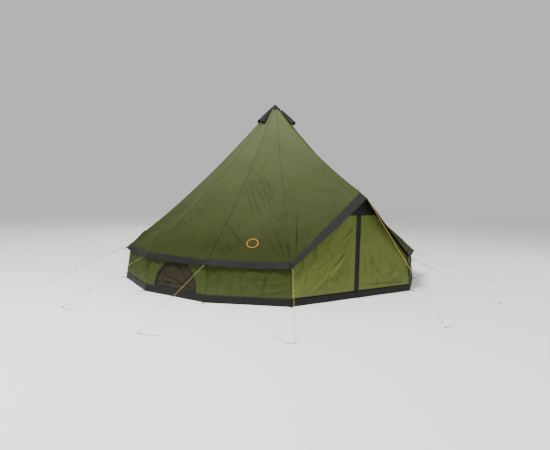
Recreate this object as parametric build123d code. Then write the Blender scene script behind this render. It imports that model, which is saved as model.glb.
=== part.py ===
from build123d import *
import os
from math import cos, hypot, pi, radians, sin, tan

# Bell-shaped teepee tent, pitched. Millimetres. +Z is up, the origin is on the ground
# under the centre pole, and the door faces -Y. Corner k stands at k steps from the door.

# Plan and heights
steps = 14  # equal steps round the plan; the door takes up two of them
floor_r = 2500.0  # corner radius at the ground
top_z = 3000.0
wall_lean = 70.0  # how much smaller the radius is at the top of the wall
wall_top_z = 535.0
eave_out = 10.0  # from the top of the wall to the lower edge of the roof
eave_up = 14.0
crown_r = 60.0  # corner radius at the upper edge of the roof
crown_drop = 60.0  # below the tip of the cap
peak_z = 1460.0  # roof height at the point over the door
roof_sag = 78.0  # how far each ridge hangs inside its straight line
cloth_t = 3.0  # thickness of every wall, roof and door sheet
trim_t = 2.0  # thickness of trims laid on the cloth
edge_gap = 10.0  # between the roof's edge and the door side panels

# Skirts and valances
hem_h = 100.0
valance_out = 70.0
valance_drop = 59.0
awning_reach = 159.0  # along the door ridge, beyond the point of the roof

# Windows
window_hem_gap = 8.0  # from the hem to the window's straight lower edge
window_top_gap = 57.0  # from the arch to the top of the wall
window_trim_w = 34.0
mesh_t = 1.0
cover_lap = 15.0
cover_gap = 5.0

# Door
door_hinge_gap = 3.0
door_foot_gap = 5.0  # over the sill
door_head_drop = 310.0  # from the point of the roof to the top of the flaps
door_half_gap = 12.0  # from the middle to the edge of each flap
tape_w = 10.0
tape_t = 1.2
zip_cover_w = 40.0
zip_cover_lift = 30.0  # over the foot of the flaps, to leave room for the slider
slider_w = 16.0
slider_h = 22.0
slider_lift = 2.0
tie_inset = 42.0  # from the corner of the floor
tie_low_z = 200.0
tie_high_z = 395.0
tie_out = 11.0  # in front of the cloth
tie_r = 2.0
toggle_r = 5.0
toggle_half = 15.0
zip_clearance = 0.3

# Poles
pole_r = 16.0
pole_wall = 1.5
pole_top_drop = 65.0  # below the tip of the cap
spigot_h = 70.0
spigot_clearance = 0.2
foot_r = 24.0
foot_floor = 5.0
foot_h = 32.0
leg_r = 11.0
leg_inset = 28.0  # behind the door sheet
leg_foot_inset = 60.0  # from the corner of the floor, along the door
leg_foot_floor = 10.0  # under the middle of the tube
leg_head_x = 22.0
leg_head_drop = 75.0  # below the point of the roof
joint_ball_r = 24.0
spike_r = 4.0
spike_top_up = 65.0  # over the point of the roof
spike_shoulder_up = 27.0  # the spike is thicker below, where it goes through the roof
spike_shoulder = 1.5
spike_clearance = 5.0

# Vents and cap
cap_r = 98.0
cap_h = 82.0
cap_wall = 4.0
hood_len = 330.0
hood_cap_gap = 9.0
hood_top_r = 26.0
hood_mouth_r = 76.0
hood_lift = 4.0
hood_places = (-3.0, -3.0 + steps / 3, -3.0 + 2 * steps / 3)

# Guy lines and pegs
rope_r = 2.0
ring_r = 13.0
ring_wire_r = 2.0
ring_out = 46.0  # from the valance's lower corner to the ring's centre
ring_drop = 14.0
stake_out = 1220.0  # from the corner of the floor to the guy peg
peg_wire_r = 3.0
peg_len = 200.0
peg_hook_r = 8.0
peg_head_z = 14.0
loop_len = 56.0
loop_w = 22.0
loop_band = 5.0
loop_z = 6.0
loop_clearance = 0.5
rope_side = 5.6  # the rope passes this far beside the middle of its peg
rope_past_peg = 10.0
rope_hook_r = 8.0
rope_at_peg_z = 9.0
runner_from_ring = 140.0
runner_size = (36.0, 13.0, 9.0)
runner_bore_clearance = 0.4
awning_rope_lift = 5.0

emblem_r = 82.0
emblem_w = 11.0
emblem_t = 1.0
emblem_at = 0.24  # share of the lowest roof strip, up from the eave
emblem_gap = 0.4

step = 2 * pi / steps
door_y = -floor_r * cos(step)
door_back_y = door_y + cloth_t
door_half_x = floor_r * sin(step)
wall_top_r = floor_r - wall_lean
eave_r = wall_top_r + eave_out
eave_z = wall_top_z + eave_up
crown_z = top_z - crown_drop
window_z = hem_h + window_hem_gap
window_r = wall_top_z - window_top_gap - window_z
door_foot_z = hem_h + door_foot_gap
door_head_z = peak_z - door_head_drop
door_top_z = peak_z - 2 * edge_gap
stake_r = floor_r + stake_out
pole_top_z = top_z - pole_top_drop
leg_head_z = peak_z - leg_head_drop
spike_top_z = peak_z + spike_top_up
spike_shoulder_z = peak_z + spike_shoulder_up
corners = [k for k in range(-6, 8) if k != 0]


def at(k, r, z):
    """The point at k steps round from the door, r out and z up."""
    return Vector(r * sin(k * step), -r * cos(k * step), z)


def polyhedron(points, faces):
    """The closed solid with these flat faces, each a list of point numbers."""
    made = [Face(Wire.make_polygon([points[i] for i in face])) for face in faces]
    solid = Solid(Shell(made))
    return solid if solid.volume > 0 else -solid


def sheet(front, back, cells):
    """A sheet of cloth between two matching lists of points; cells are triangles."""
    n = len(front)
    faces = list(cells) + [[i + n for i in cell] for cell in cells]
    edges = [(c[i], c[(i + 1) % len(c)]) for c in cells for i in range(len(c))]
    rim = [(a, b) for a, b in edges if (b, a) not in edges]
    for a, b in rim:
        faces += [(a, b, b + n), (a, b + n, a + n)]
    return polyhedron(list(front) + list(back), faces)


def strip(left, right, left_back, right_back):
    """A sheet between two lines of points, from their first points to their last."""
    n = len(left)
    cells = []
    for j in range(n - 1):
        cells += [(j, j + 1, n + j + 1), (j, n + j + 1, n + j)]
    return sheet(left + right, left_back + right_back, cells)


def sagged(r0, z0, r1, z1):
    """A ridge's profile from (r0, z0) down to (r1, z1), hanging inside its chord."""
    run, drop = r1 - r0, z0 - z1
    length = hypot(run, drop)
    out = []
    for share, sag in ((0, 0), (0.28, 0.85), (0.6, 1), (1, 0)):
        r = r0 + run * share - roof_sag * sag * drop / length
        z = z0 - drop * share - roof_sag * sag * run / length
        out.append((r, z))
    return out


def inside(profile, depth):
    """The profile moved by depth square to itself, towards the inside of the tent."""
    out = []
    for i, (r, z) in enumerate(profile):
        r0, z0 = profile[max(i - 1, 0)]
        r1, z1 = profile[min(i + 1, len(profile) - 1)]
        length = hypot(r1 - r0, z1 - z0)
        out.append((r - depth * (z0 - z1) / length, z - depth * (r1 - r0) / length))
    return out


def line(k, profile):
    return [at(k, r, z) for r, z in profile]


def ring_of(k_list, profile, back):
    """One separate panel for each step from k to k + 1."""
    return [strip(line(k, profile), line(k + 1, profile), line(k, back), line(k + 1, back)) for k in k_list]


def wall_r(z):
    return floor_r + (wall_top_r - floor_r) * z / wall_top_z


def wall_plane(k):
    """A panel's outer face: x along the panel, y up it, z outwards, origin at its foot."""
    foot = (at(k, floor_r, 0) + at(k + 1, floor_r, 0)) / 2
    head = (at(k, wall_top_r, wall_top_z) + at(k + 1, wall_top_r, wall_top_z)) / 2
    along = (at(k + 1, floor_r, 0) - at(k, floor_r, 0)).normalized()
    return Plane(origin=foot, x_dir=along, z_dir=along.cross(head - foot))


def half_disc(radius):
    return Circle(radius) & Pos(0, radius, 0) * Rectangle(2 * radius, 2 * radius)


def rod(a, b, r):
    """A round bar from a to b."""
    a, b = Vector(a), Vector(b)
    return Plane(origin=a, z_dir=b - a) * extrude(Circle(r), amount=(b - a).length)


def tube(a, b, r, wall):
    a, b = Vector(a), Vector(b)
    section = Circle(r) - Circle(r - wall)
    return Plane(origin=a, z_dir=b - a) * extrude(section, amount=(b - a).length)


def save(shapes, name):
    """Write one node; a list becomes a group of separate solids."""
    group = list(shapes) if isinstance(shapes, (list, tuple)) else [shapes]
    solids = [solid for shape in group for solid in shape.solids()]
    export_step(solids[0] if len(solids) == 1 else Compound(children=solids), f"parts/{name}.step")


# ---- Roof ----
ridge = sagged(crown_r, crown_z, eave_r, eave_z)
ridge_back = inside(ridge, cloth_t)
door_ridge_r = -door_y + edge_gap
door_ridge = sagged(crown_r, crown_z, door_ridge_r, peak_z)
door_ridge_back = inside(door_ridge, cloth_t)

leg_y = door_y + leg_inset
spike_hole = Pos(0, leg_y, peak_z) * Cylinder(spike_r + spike_clearance, 120)


def door_gore(side):
    left = line(side, ridge)
    left_back = line(side, ridge_back)
    gore = strip(left, line(0, door_ridge), left_back, line(0, door_ridge_back))
    return gore - spike_hole


# ---- Walls ----
wall_profile = [(floor_r, 0), (wall_top_r, wall_top_z)]
wall_back = [(floor_r - cloth_t, 0), (wall_top_r - cloth_t, wall_top_z)]
hem_profile = [(floor_r + trim_t, 0), (wall_r(hem_h) + trim_t, hem_h)]
hem_back = [(floor_r, 0), (wall_r(hem_h), hem_h)]
wall_steps = [k for k in range(1, steps - 1)]
window_steps = [2, 5, 8, 11]
plain_steps = [k for k in wall_steps if k not in window_steps]


def window_parts(k):
    """The panel with its arch, its mesh, its trim and its inner cover."""
    face = wall_plane(k)
    sill = Pos(0, window_z, 0)
    arch = sill * half_disc(window_r)
    panel = ring_of([k], wall_profile, wall_back)[0]
    panel = panel - face * (Pos(0, 0, -2 * cloth_t) * extrude(arch, amount=4 * cloth_t))
    mesh_face = sill * half_disc(window_r - zip_clearance)
    mesh_z = -(cloth_t + mesh_t) / 2
    mesh = face * (Pos(0, 0, mesh_z) * extrude(mesh_face, amount=mesh_t))
    border = half_disc(window_r + window_trim_w / 2) - half_disc(window_r - window_trim_w / 2)
    trim = face * extrude(sill * border, amount=trim_t)
    cover_z = -cloth_t - cover_gap - cloth_t
    cover_face = sill * half_disc(window_r + cover_lap)
    cover = face * (Pos(0, 0, cover_z) * extrude(cover_face, amount=cloth_t))
    return panel, mesh, trim, cover


# ---- Door ----
def hinge_x(z):
    """Where a flap's slanting hinge line is at height z."""
    return door_half_x * (1 - z / door_top_z)


def side_edge(z):
    """The point at height z on the upper edge of a door side panel, on the right."""
    low, high = at(1, wall_top_r, wall_top_z), Vector(0, door_y, door_top_z)
    share = (z - low.Z) / (high.Z - low.Z)
    return low + (high - low) * share


def door_side(side):
    """The fixed cloth between a flap's hinge line and the roof's edge."""
    gap = door_hinge_gap / 2
    front = [
        Vector(hinge_x(door_foot_z) + gap, door_y, door_foot_z),
        at(1, wall_r(door_foot_z), door_foot_z),
        at(1, wall_top_r, wall_top_z),
        side_edge(door_head_z),
        Vector(hinge_x(door_head_z) + gap, door_y, door_head_z),
    ]
    if side < 0:
        front = [Vector(-p.X, p.Y, p.Z) for p in front]
    back = [p + Vector(0, cloth_t, 0) for p in front]
    back[1] = at(side, wall_r(door_foot_z) - cloth_t, door_foot_z)
    back[2] = at(side, wall_top_r - cloth_t, wall_top_z)
    return sheet(front, back, [(0, 1, 2), (0, 2, 3), (0, 3, 4)])


def door_side_normal():
    """Square to the lower part of the right side panel."""
    hinge = Vector(hinge_x(door_foot_z), door_y, door_foot_z)
    foot, head = at(1, wall_r(door_foot_z), door_foot_z), at(1, wall_top_r, wall_top_z)
    return (foot - hinge).cross(head - hinge).normalized()


def door_sill():
    """The hem across the door, mitred into the hem and the walls beside it."""
    front = line(-1, hem_profile) + line(1, hem_profile)
    back_profile = [(r - trim_t - cloth_t, z) for r, z in hem_profile]
    return sheet(front, line(-1, back_profile) + line(1, back_profile), [(0, 1, 3), (0, 3, 2)])


def peak_patch():
    """The fixed dark gusset over the two flaps."""
    low_z = door_head_z + door_foot_gap
    edge, hinge = side_edge(low_z), Vector(hinge_x(low_z), door_y, low_z)
    top = Vector(0, door_y, door_top_z)
    front = [edge, top, Vector(-edge.X, edge.Y, edge.Z), Vector(-hinge.X, hinge.Y, hinge.Z), hinge]
    back = [p + Vector(0, cloth_t, 0) for p in front]
    return sheet(front, back, [(0, 1, 4), (4, 1, 3), (3, 1, 2)])


def door_slab(outline, y, thickness):
    """A flat piece of the door, from y towards the inside."""
    points = [Vector(x, y, z) for x, z in outline]
    return extrude(Face(Wire.make_polygon(points)), amount=thickness, dir=(0, 1, 0))


def flap_parts(side):
    foot_z, head_z, gap = door_foot_z, door_head_z, door_hinge_gap / 2
    cover_foot_z = door_foot_z + zip_cover_lift
    outline = [
        (door_half_gap, foot_z),
        (hinge_x(foot_z) - gap, foot_z),
        (hinge_x(head_z) - gap, head_z),
        (door_half_gap, head_z),
    ]
    tape_x = zip_clearance / 2 + 0.5
    tape = [
        (tape_x, foot_z),
        (door_half_gap + tape_w, foot_z),
        (door_half_gap + tape_w, head_z),
        (tape_x, head_z),
    ]
    cover = [
        (zip_clearance, cover_foot_z),
        (zip_cover_w, cover_foot_z),
        (zip_cover_w, head_z),
        (zip_clearance, head_z),
    ]
    flap = door_slab([(side * x, z) for x, z in outline], door_y, cloth_t)
    tape_solid = door_slab([(side * x, z) for x, z in tape], door_back_y, tape_t)
    cover_solid = door_slab([(side * x, z) for x, z in cover], door_y - trim_t, trim_t)
    return flap, tape_solid, cover_solid


def zip_slider():
    thick = cloth_t - 2 * zip_clearance
    low_z = door_foot_z + slider_lift
    middle = Pos(0, door_y + cloth_t / 2, low_z + slider_h / 2)
    body = middle * Box(slider_w, thick, slider_h)
    return fillet(body.edges().filter_by(Axis.Y), 4)


def door_tie(side):
    """A short loop of cord with a toggle, hanging on a door side panel."""
    on_cloth = Vector(hinge_x(door_foot_z), door_y, door_foot_z)
    normal = door_side_normal()
    x = door_half_x - tie_inset
    ends = []
    for z in (tie_low_z, tie_high_z):
        cloth_y = (on_cloth - Vector(x, 0, z)).dot(normal) / normal.Y
        ends.append(Vector(side * x, cloth_y - tie_out, z))
    low, high = ends
    up = (high - low).normalized()
    across = Vector(toggle_half, 0, 0)
    return [rod(high, low + up * (toggle_r + tie_r), tie_r), rod(low - across, low + across, toggle_r)]


# ---- Valances over the wall and the door ----
valance = [(eave_r, eave_z), (eave_r + valance_out, eave_z - valance_drop)]
valance_back = inside(valance, trim_t)


def awning(side):
    """The valance that goes up one side of the door to the point."""
    slope = Vector(0, door_ridge[-2][0] - door_ridge[-1][0], door_ridge[-1][1] - door_ridge[-2][1])
    peak = at(0, *door_ridge[-1])
    tip = peak + slope.normalized() * awning_reach
    down = Vector(0, 0, -trim_t)
    front = [at(side, *valance[0]), at(side, *valance[1]), tip, peak]
    back = [front[0] + down, front[1] + down, tip + down * 1.2, peak + down * 1.2]
    return sheet(front, back, [(0, 1, 2), (0, 2, 3)])


# ---- Cap and vents ----
def apex_cap():
    rim_z = top_z - cap_h
    outer = [(0, top_z), (16, top_z - 6), (cap_r, rim_z)]
    inner = [(cap_r - cap_wall, rim_z), (14, top_z - 6 - cap_wall), (0, top_z - cap_wall)]
    points = [(r, 0, z) for r, z in outer + inner]
    return revolve(Face(Wire.make_polygon(points)), Axis.Z)


def vent(place):
    """A half-round hood on the roof's slope, and the mesh across its mouth."""
    (r0, z0), (r1, z1) = ridge[0], ridge[1]
    length = hypot(r1 - r0, z0 - z1)
    down = at(place, r1 - r0, z1 - z0)
    normal = at(place, (z0 - z1) / length, (r1 - r0) / length)
    share = (cap_r + hood_cap_gap - r0) / (r1 - r0)
    start = at(place, r0 + (r1 - r0) * share, z0 + (z1 - z0) * share) + normal * hood_lift
    base = Plane(origin=start, x_dir=normal, z_dir=down)
    outer = Pos(0, 0, hood_len / 2) * Cone(hood_top_r, hood_mouth_r, hood_len)
    inner_r = (hood_top_r - cloth_t, hood_mouth_r - cloth_t)
    inner = Pos(0, 0, hood_len / 2) * Cone(*inner_r, hood_len)
    keep = Pos(hood_mouth_r, 0, hood_len / 2) * Box(2 * hood_mouth_r, 4 * hood_mouth_r, 2 * hood_len)
    hood = base * ((outer - inner) & keep)
    slice_z = hood_len - 12
    slice_box = Pos(hood_mouth_r, 0, slice_z) * Box(2 * hood_mouth_r, 4 * hood_mouth_r, mesh_t)
    slim = Pos(0, 0, hood_len / 2) * Cone(inner_r[0] - 0.4, inner_r[1] - 0.4, hood_len)
    return hood, base * (slim & slice_box)


# ---- Poles ----
def pole_section(low, high, r, last):
    """A tube; all but the last end in a slimmer spigot for the next one."""
    low, high = Vector(low), Vector(high)
    section = tube(low, high, r, pole_wall)
    if last:
        return section
    up = (high - low).normalized()
    spigot_r = r - pole_wall - spigot_clearance
    root = tube(high - up * spigot_h, high, r - pole_wall, pole_wall + spigot_clearance)
    return section + root + tube(high, high + up * spigot_h, spigot_r, pole_wall)


def split(low, high, count):
    low, high = Vector(low), Vector(high)
    return [low + (high - low) * (i / count) for i in range(count + 1)]


def centre_pole():
    low_z = cloth_t + foot_floor
    ends = split((0, 0, low_z), (0, 0, pole_top_z), 3)
    return [pole_section(ends[i], ends[i + 1], pole_r, i == 2) for i in range(3)]


def pole_foot():
    cup = Pos(0, 0, cloth_t + foot_h / 2) * Cylinder(foot_r, foot_h)
    bore = Pos(0, 0, cloth_t + foot_floor + foot_h / 2) * Cylinder(pole_r + spigot_clearance, foot_h)
    return fillet(cup.edges().sort_by(Axis.Z)[-1], 2) - bore


def pole_spike():
    plug_r = pole_r - pole_wall - spigot_clearance
    plug = Pos(0, 0, pole_top_z - 20) * Cylinder(plug_r, 40)
    head = Pos(0, 0, pole_top_z + 4) * Cylinder(pole_r, 8)
    tip = Pos(0, 0, pole_top_z + 8 + 15) * Cone(9, 5, 30)
    return plug + head + tip


def leg_ends(side):
    low = Vector(side * (door_half_x - leg_foot_inset), leg_y, cloth_t + leg_foot_floor)
    return low, Vector(side * leg_head_x, leg_y, leg_head_z)


def leg_sections(side):
    low, high = leg_ends(side)
    ends = split(low, high, 2)
    return [pole_section(ends[i], ends[i + 1], leg_r, i == 1) for i in range(2)]


def leg_foot(side):
    low, high = leg_ends(side)
    up = (high - low).normalized()
    shoe = Plane(origin=low - up * 4, z_dir=up) * extrude(Circle(leg_r + 4), amount=34)
    bore = Plane(origin=low, z_dir=up) * extrude(Circle(leg_r + spigot_clearance), amount=40)
    ground = Pos(low.X, leg_y, cloth_t - 50) * Box(100, 100, 100)
    return shoe - bore - ground


def peak_joint():
    """The angle piece on top of the two legs, with the spike for the guy line."""
    ball = Pos(0, leg_y, leg_head_z + 14) * Sphere(joint_ball_r)
    shank = rod((0, leg_y, leg_head_z + 14), (0, leg_y, spike_shoulder_z), spike_r + spike_shoulder)
    spike = rod((0, leg_y, spike_shoulder_z), (0, leg_y, spike_top_z), spike_r)
    solid = ball + shank + spike
    for side in (-1, 1):
        low, high = leg_ends(side)
        up = (high - low).normalized()
        plug_r = leg_r - pole_wall - spigot_clearance
        solid += rod(high - up * 40, high + up * 10, plug_r)
        solid -= tube(high - up * 60, high, leg_r + spigot_clearance, pole_wall + 2 * spigot_clearance)
    return solid


# ---- Pegs, loops and rings ----
def peg(k, r, lean):
    """A wire peg with a hooked head; lean is its tilt away from the tent, in degrees."""
    pts = [
        (0, 0, -peg_len),
        (0, 0, peg_head_z),
        (2 * peg_hook_r, 0, peg_head_z),
        (2 * peg_hook_r, 0, peg_head_z - 14),
    ]
    path = FilletPolyline(*pts, radius=[peg_hook_r * 0.95, peg_hook_r * 0.95])
    bar = sweep(Plane(origin=path @ 0, z_dir=path % 0) * Circle(peg_wire_r), path=path)
    out = at(k, 1, 0)
    place = Plane(origin=at(k, r, 0), x_dir=out, z_dir=(0, 0, 1))
    return place * (Rot(0, lean, 0) * bar)


def peg_loop(k, r):
    """A flat webbing loop sewn into the hem at r, round its peg."""
    slot = SlotOverall(loop_len, loop_w) - SlotOverall(loop_len - 2 * loop_band, loop_w - 2 * loop_band)
    place = Plane(origin=at(k, r + loop_len / 2, loop_z), x_dir=at(k, 1, 0), z_dir=(0, 0, 1))
    return place * extrude(slot, amount=trim_t)


def ring_centre(k):
    return at(k, eave_r + valance_out + ring_out, eave_z - valance_drop - ring_drop)


def guy_ring(centre, k):
    upright = Plane(origin=centre, x_dir=at(k, 1, 0), z_dir=at(k + steps / 4, 1, 0))
    return upright * Torus(ring_r, ring_wire_r)


def guy_tab(k):
    """The webbing tab that holds a ring under a valance's corner."""
    tip_r, tip_z = eave_r + valance_out, eave_z - valance_drop
    low = ring_centre(k) + at(k, -ring_r - ring_wire_r - 0.3, 0)
    high = at(k, tip_r - 30, tip_z + 30 * valance_drop / valance_out - 7)
    side = at(k + steps / 4, 1, 0)
    place = Plane(origin=(low + high) / 2, x_dir=high - low, z_dir=side.cross(high - low))
    return place * Box((high - low).length, 25, trim_t)


# ---- Guy lines ----
# How each free end lies beyond its peg: out from the tent, sideways, up.
tail_straight = [(13, 46, 6), (6, 98, 2.5), (-8, 150, 2.5), (-5, 203, 2.5), (-12, 250, 2.5)]
tail_inward = [(8, 40, 6), (-32, 76, 2.5), (-84, 101, 2.5), (-133, 134, 2.5), (-188, 158, 2.5), (-235, 195, 2.5)]
tail_outward = [(15, 42, 6), (32, 88, 2.5), (64, 124, 2.5), (92, 164, 2.5)]
tail_short = [(12, 36, 6), (2, 74, 2.5), (6, 112, 2.5)]
# Corner, how many steps beside it and how much further out its peg stands, the side on
# which the free end leaves, and its shape.
guys = [
    (-6, 0, 0, 1, tail_straight),
    (-5, 0.25, -140, -1, tail_short),
    (-4, 0.12, -125, -1, tail_outward),
    (-3, 0.13, -30, 1, tail_straight),
    (-2, 0.01, 150, 1, tail_straight),
    (-1, -0.095, 135, -1, tail_inward),
    (0, -0.05, 35, 1, tail_short),
    (1, -0.06, 0, 1, tail_short),
    (2, 0.08, 30, -1, tail_outward),
    (3, 0.05, 50, -1, tail_straight),
    (4, 0, 0, 1, tail_straight),
    (5, 0, 0, -1, tail_inward),
    (6, 0, 0, 1, tail_outward),
    (7, 0, 0, -1, tail_straight),
]


def guy_points(k, beside, further, turn, tail):
    """The route of one guy line: ring or spike, peg, then the free end on the ground."""
    if k:
        start = [ring_centre(k) + at(k, ring_r + ring_wire_r + rope_r, 0)]
    else:
        slope = Vector(0, door_ridge[-2][0] - door_ridge[-1][0], door_ridge[-1][1] - door_ridge[-2][1])
        tip = at(0, *door_ridge[-1]) + slope.normalized() * awning_reach
        spike_side = Vector(0, leg_y - spike_r - rope_r, spike_shoulder_z + 2 * rope_r)
        start = [spike_side, tip + Vector(0, 0, awning_rope_lift)]
    side = at(k + beside + steps / 4, 1, 0)
    out = at(k + beside, 1, 0)
    place = at(k + beside, stake_r + further, 0)
    hook = place + out * rope_past_peg - side * (turn * rope_side)
    points = start + [hook + Vector(0, 0, rope_at_peg_z)]
    for u, v, z in tail:
        points.append(place + out * u + side * (turn * v) + Vector(0, 0, z))
    return points


def rope_radii(points, first_bends):
    """Each bend's arc, as large as its two runs allow; the first ones are set by what they go round."""
    radii = []
    for i in range(1, len(points) - 1):
        before, after = points[i] - points[i - 1], points[i + 1] - points[i]
        turn = radians(before.get_angle(after))
        largest = 0.45 * min(before.length, after.length) / tan(turn / 2)
        radii.append(min(largest, first_bends[i - 1]) if i <= len(first_bends) else largest)
    return radii


def guy(k, *aim):
    points = guy_points(k, *aim)
    bends = [rope_hook_r] if k else [60.0, rope_hook_r]
    radii = rope_radii(points, bends)
    path = FilletPolyline(*points, radius=radii)
    rope = sweep(Plane(origin=path @ 0, z_dir=path % 0) * Circle(rope_r), path=path)
    share = rope.volume / (pi * rope_r**2 * path.length)
    print(f"guy {k}: {path.length:.0f} mm, volume share {share:.3f}, radii", [round(r) for r in radii])
    return rope


def runner(k, *aim):
    """The tensioner on a guy line."""
    points = guy_points(k, *aim)
    first = 0 if k else 1
    along = (points[first + 1] - points[first]).normalized()
    centre = points[first] + along * runner_from_ring
    place = Plane(origin=centre, x_dir=at(k + steps / 4, 1, 0), z_dir=along)
    length, width, thick = runner_size
    block = Box(width, thick, length)
    block = fillet(block.edges().filter_by(Axis.Y), 3)
    return place * (block - Cylinder(rope_r + runner_bore_clearance, 2 * length))


def emblem():
    """A plain sewn ring on the roof beside the door."""
    eave_mid = (at(-2, *ridge[-1]) + at(-1, *ridge[-1])) / 2
    upper_mid = (at(-2, *ridge[-2]) + at(-1, *ridge[-2])) / 2
    up = (upper_mid - eave_mid)
    along = at(-1, *ridge[-1]) - at(-2, *ridge[-1])
    face = Plane(origin=eave_mid + up * emblem_at, x_dir=along, z_dir=along.cross(up))
    band = Circle(emblem_r) - Circle(emblem_r - emblem_w)
    return face * (Pos(0, 0, emblem_gap) * extrude(band, amount=emblem_t))


os.makedirs("parts", exist_ok=True)

save(ring_of(wall_steps, ridge, ridge_back), "roof_gores")
save(door_gore(-1), "door_gore_left")
save(door_gore(1), "door_gore_right")
save(ring_of(plain_steps, wall_profile, wall_back), "wall_panels")
save(ring_of(wall_steps, hem_profile, hem_back), "hem_band")
save(ring_of(wall_steps, valance, valance_back), "eave_valance")

windows = [window_parts(k) for k in window_steps]
save([w[0] for w in windows], "window_panels")
save([w[1] for w in windows], "window_meshes")
save([w[2] for w in windows], "window_trims")
for number, window in enumerate(windows, 1):
    save(window[3], f"window_cover_{number}")

save(door_sill(), "door_sill")
save([door_side(-1), door_side(1)], "door_side_panels")
save(peak_patch(), "door_peak_patch")
for side, word in ((-1, "left"), (1, "right")):
    flap, tape, zip_cover = flap_parts(side)
    save(flap, f"door_flap_{word}")
    save(tape, f"zip_tape_{word}")
    save(zip_cover, f"zip_cover_{word}")
save(zip_slider(), "zip_slider")
save(door_tie(-1) + door_tie(1), "door_ties")
save([awning(-1), awning(1)], "door_awning")

ground = [at(k, floor_r - cloth_t - 1, 0) for k in corners]
save(extrude(Face(Wire.make_polygon(ground)), amount=cloth_t, dir=(0, 0, 1)), "groundsheet")

save(apex_cap(), "apex_cap")
vents = [vent(place) for place in hood_places]
save([v[0] for v in vents], "vent_hoods")
save([v[1] for v in vents], "vent_meshes")

for section, word in zip(centre_pole(), ("bottom", "middle", "top")):
    save(section, f"pole_{word}")
save(pole_foot(), "pole_foot")
save(pole_spike(), "pole_head")
legs = [leg_sections(-1), leg_sections(1)]
save([leg[0] for leg in legs], "door_legs_lower")
save([leg[1] for leg in legs], "door_legs_upper")
save([leg_foot(-1), leg_foot(1)], "door_leg_feet")
save(peak_joint(), "door_peak_joint")

save([guy_tab(k) for k in corners], "guy_tabs")
save([guy_ring(ring_centre(k), k) for k in corners], "guy_rings")
hem_places = [(k, floor_r) for k in corners] + [(0, -door_y)]
peg_in_loop = loop_len - loop_band - peg_wire_r - loop_clearance
save([peg_loop(k, r) for k, r in hem_places], "peg_loops")
save([peg(k, r + peg_in_loop, 0) for k, r in hem_places], "hem_pegs")
save([peg(k + beside, stake_r + further, 12) for k, beside, further, _, _ in guys], "guy_pegs")
save([runner(*spec) for spec in guys], "guy_runners")
for number, spec in enumerate(guys, 1):
    save(guy(*spec), f"guy_line_{number:02d}")
save(emblem(), "sewn_ring")
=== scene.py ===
import math
from math import cos, pi, radians, sin

import bmesh
import bpy
import numpy as np
from mathutils import Matrix, Vector


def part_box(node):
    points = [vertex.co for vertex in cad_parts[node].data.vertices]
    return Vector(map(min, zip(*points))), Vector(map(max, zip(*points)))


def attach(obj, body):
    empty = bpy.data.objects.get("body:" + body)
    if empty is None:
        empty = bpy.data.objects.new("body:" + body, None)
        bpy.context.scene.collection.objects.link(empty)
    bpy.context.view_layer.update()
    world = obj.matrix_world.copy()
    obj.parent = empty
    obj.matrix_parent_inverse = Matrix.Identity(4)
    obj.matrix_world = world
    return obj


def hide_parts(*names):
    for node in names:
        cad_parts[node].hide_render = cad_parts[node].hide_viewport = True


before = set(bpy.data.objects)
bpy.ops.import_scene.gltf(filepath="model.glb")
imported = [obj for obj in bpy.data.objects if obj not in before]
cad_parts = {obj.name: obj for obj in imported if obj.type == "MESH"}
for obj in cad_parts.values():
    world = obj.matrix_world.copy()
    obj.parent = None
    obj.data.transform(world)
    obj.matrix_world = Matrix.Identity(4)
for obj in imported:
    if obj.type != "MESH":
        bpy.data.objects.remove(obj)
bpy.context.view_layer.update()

# The tent stands on the ground at the origin, its door faces -Y, and corner k is k steps round.
plan = {
    "steps": 14,
    "floorRadius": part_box("wall_panels")[1].y,
    "wallRadius": 2.43,
    "wallLean": 0.07,
    "wallTop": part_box("wall_panels")[1].z,
    "eaveRadius": 2.44,
    "eaveHeight": 0.549,
    "valanceOut": 0.07,
    "valanceDrop": 0.059,
    "crownRadius": 0.06,
    "crownHeight": 2.94,
    "peakReach": 2.2624,
    "peakHeight": 1.46,
    "ridgeSag": 0.078,
    "hemHeight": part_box("hem_band")[1].z,
    "doorY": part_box("door_flap_left")[0].y,
    "doorHalf": 1.0847,
    "doorTop": 1.44,
    "flapFoot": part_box("door_flap_left")[0].z,
    "flapHead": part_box("door_flap_left")[1].z,
}
stepAngle = 2 * pi / plan["steps"]
cornerPlaces = [k for k in range(-6, 8) if k]
windowPlaces = [2, 5, 8, 11]


def together(*parts):
    # Coordinates side by side; numbers and arrays are spread to one shape.
    return np.stack(np.broadcast_arrays(*parts), -1)


def at(k, r, z):
    k, r, z = np.broadcast_arrays(np.asarray(k, float), r, z)
    return together(r * np.sin(k * stepAngle), -r * np.cos(k * stepAngle), z)


def alongside(k):
    # The level way across corner k, a quarter turn on from its outward way.
    return at(k + plan["steps"] / 4, 1, 0)


def unit(v):
    return v / np.maximum(np.linalg.norm(v, axis=-1, keepdims=True), 1e-12)


# Camera
view = {"place": (-4.129, -6.706, 1.3875), "turn": -31.96, "dip": 3.83, "roll": 1.31, "lens": 28.54}
cameraData = bpy.data.cameras.new("camera")
cameraData.lens = view["lens"]
cameraData.sensor_width = 36.0
cameraData.sensor_fit = "HORIZONTAL"
camera = bpy.data.objects.new("camera", cameraData)
camera.matrix_world = (
    Matrix.Translation(view["place"])
    @ Matrix.Rotation(radians(view["turn"]), 4, "Z")
    @ Matrix.Rotation(radians(90 - view["dip"]), 4, "X")
    @ Matrix.Rotation(radians(view["roll"]), 4, "Z")
)
bpy.context.scene.collection.objects.link(camera)
bpy.context.scene.camera = camera
print("camera placed")


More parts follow.
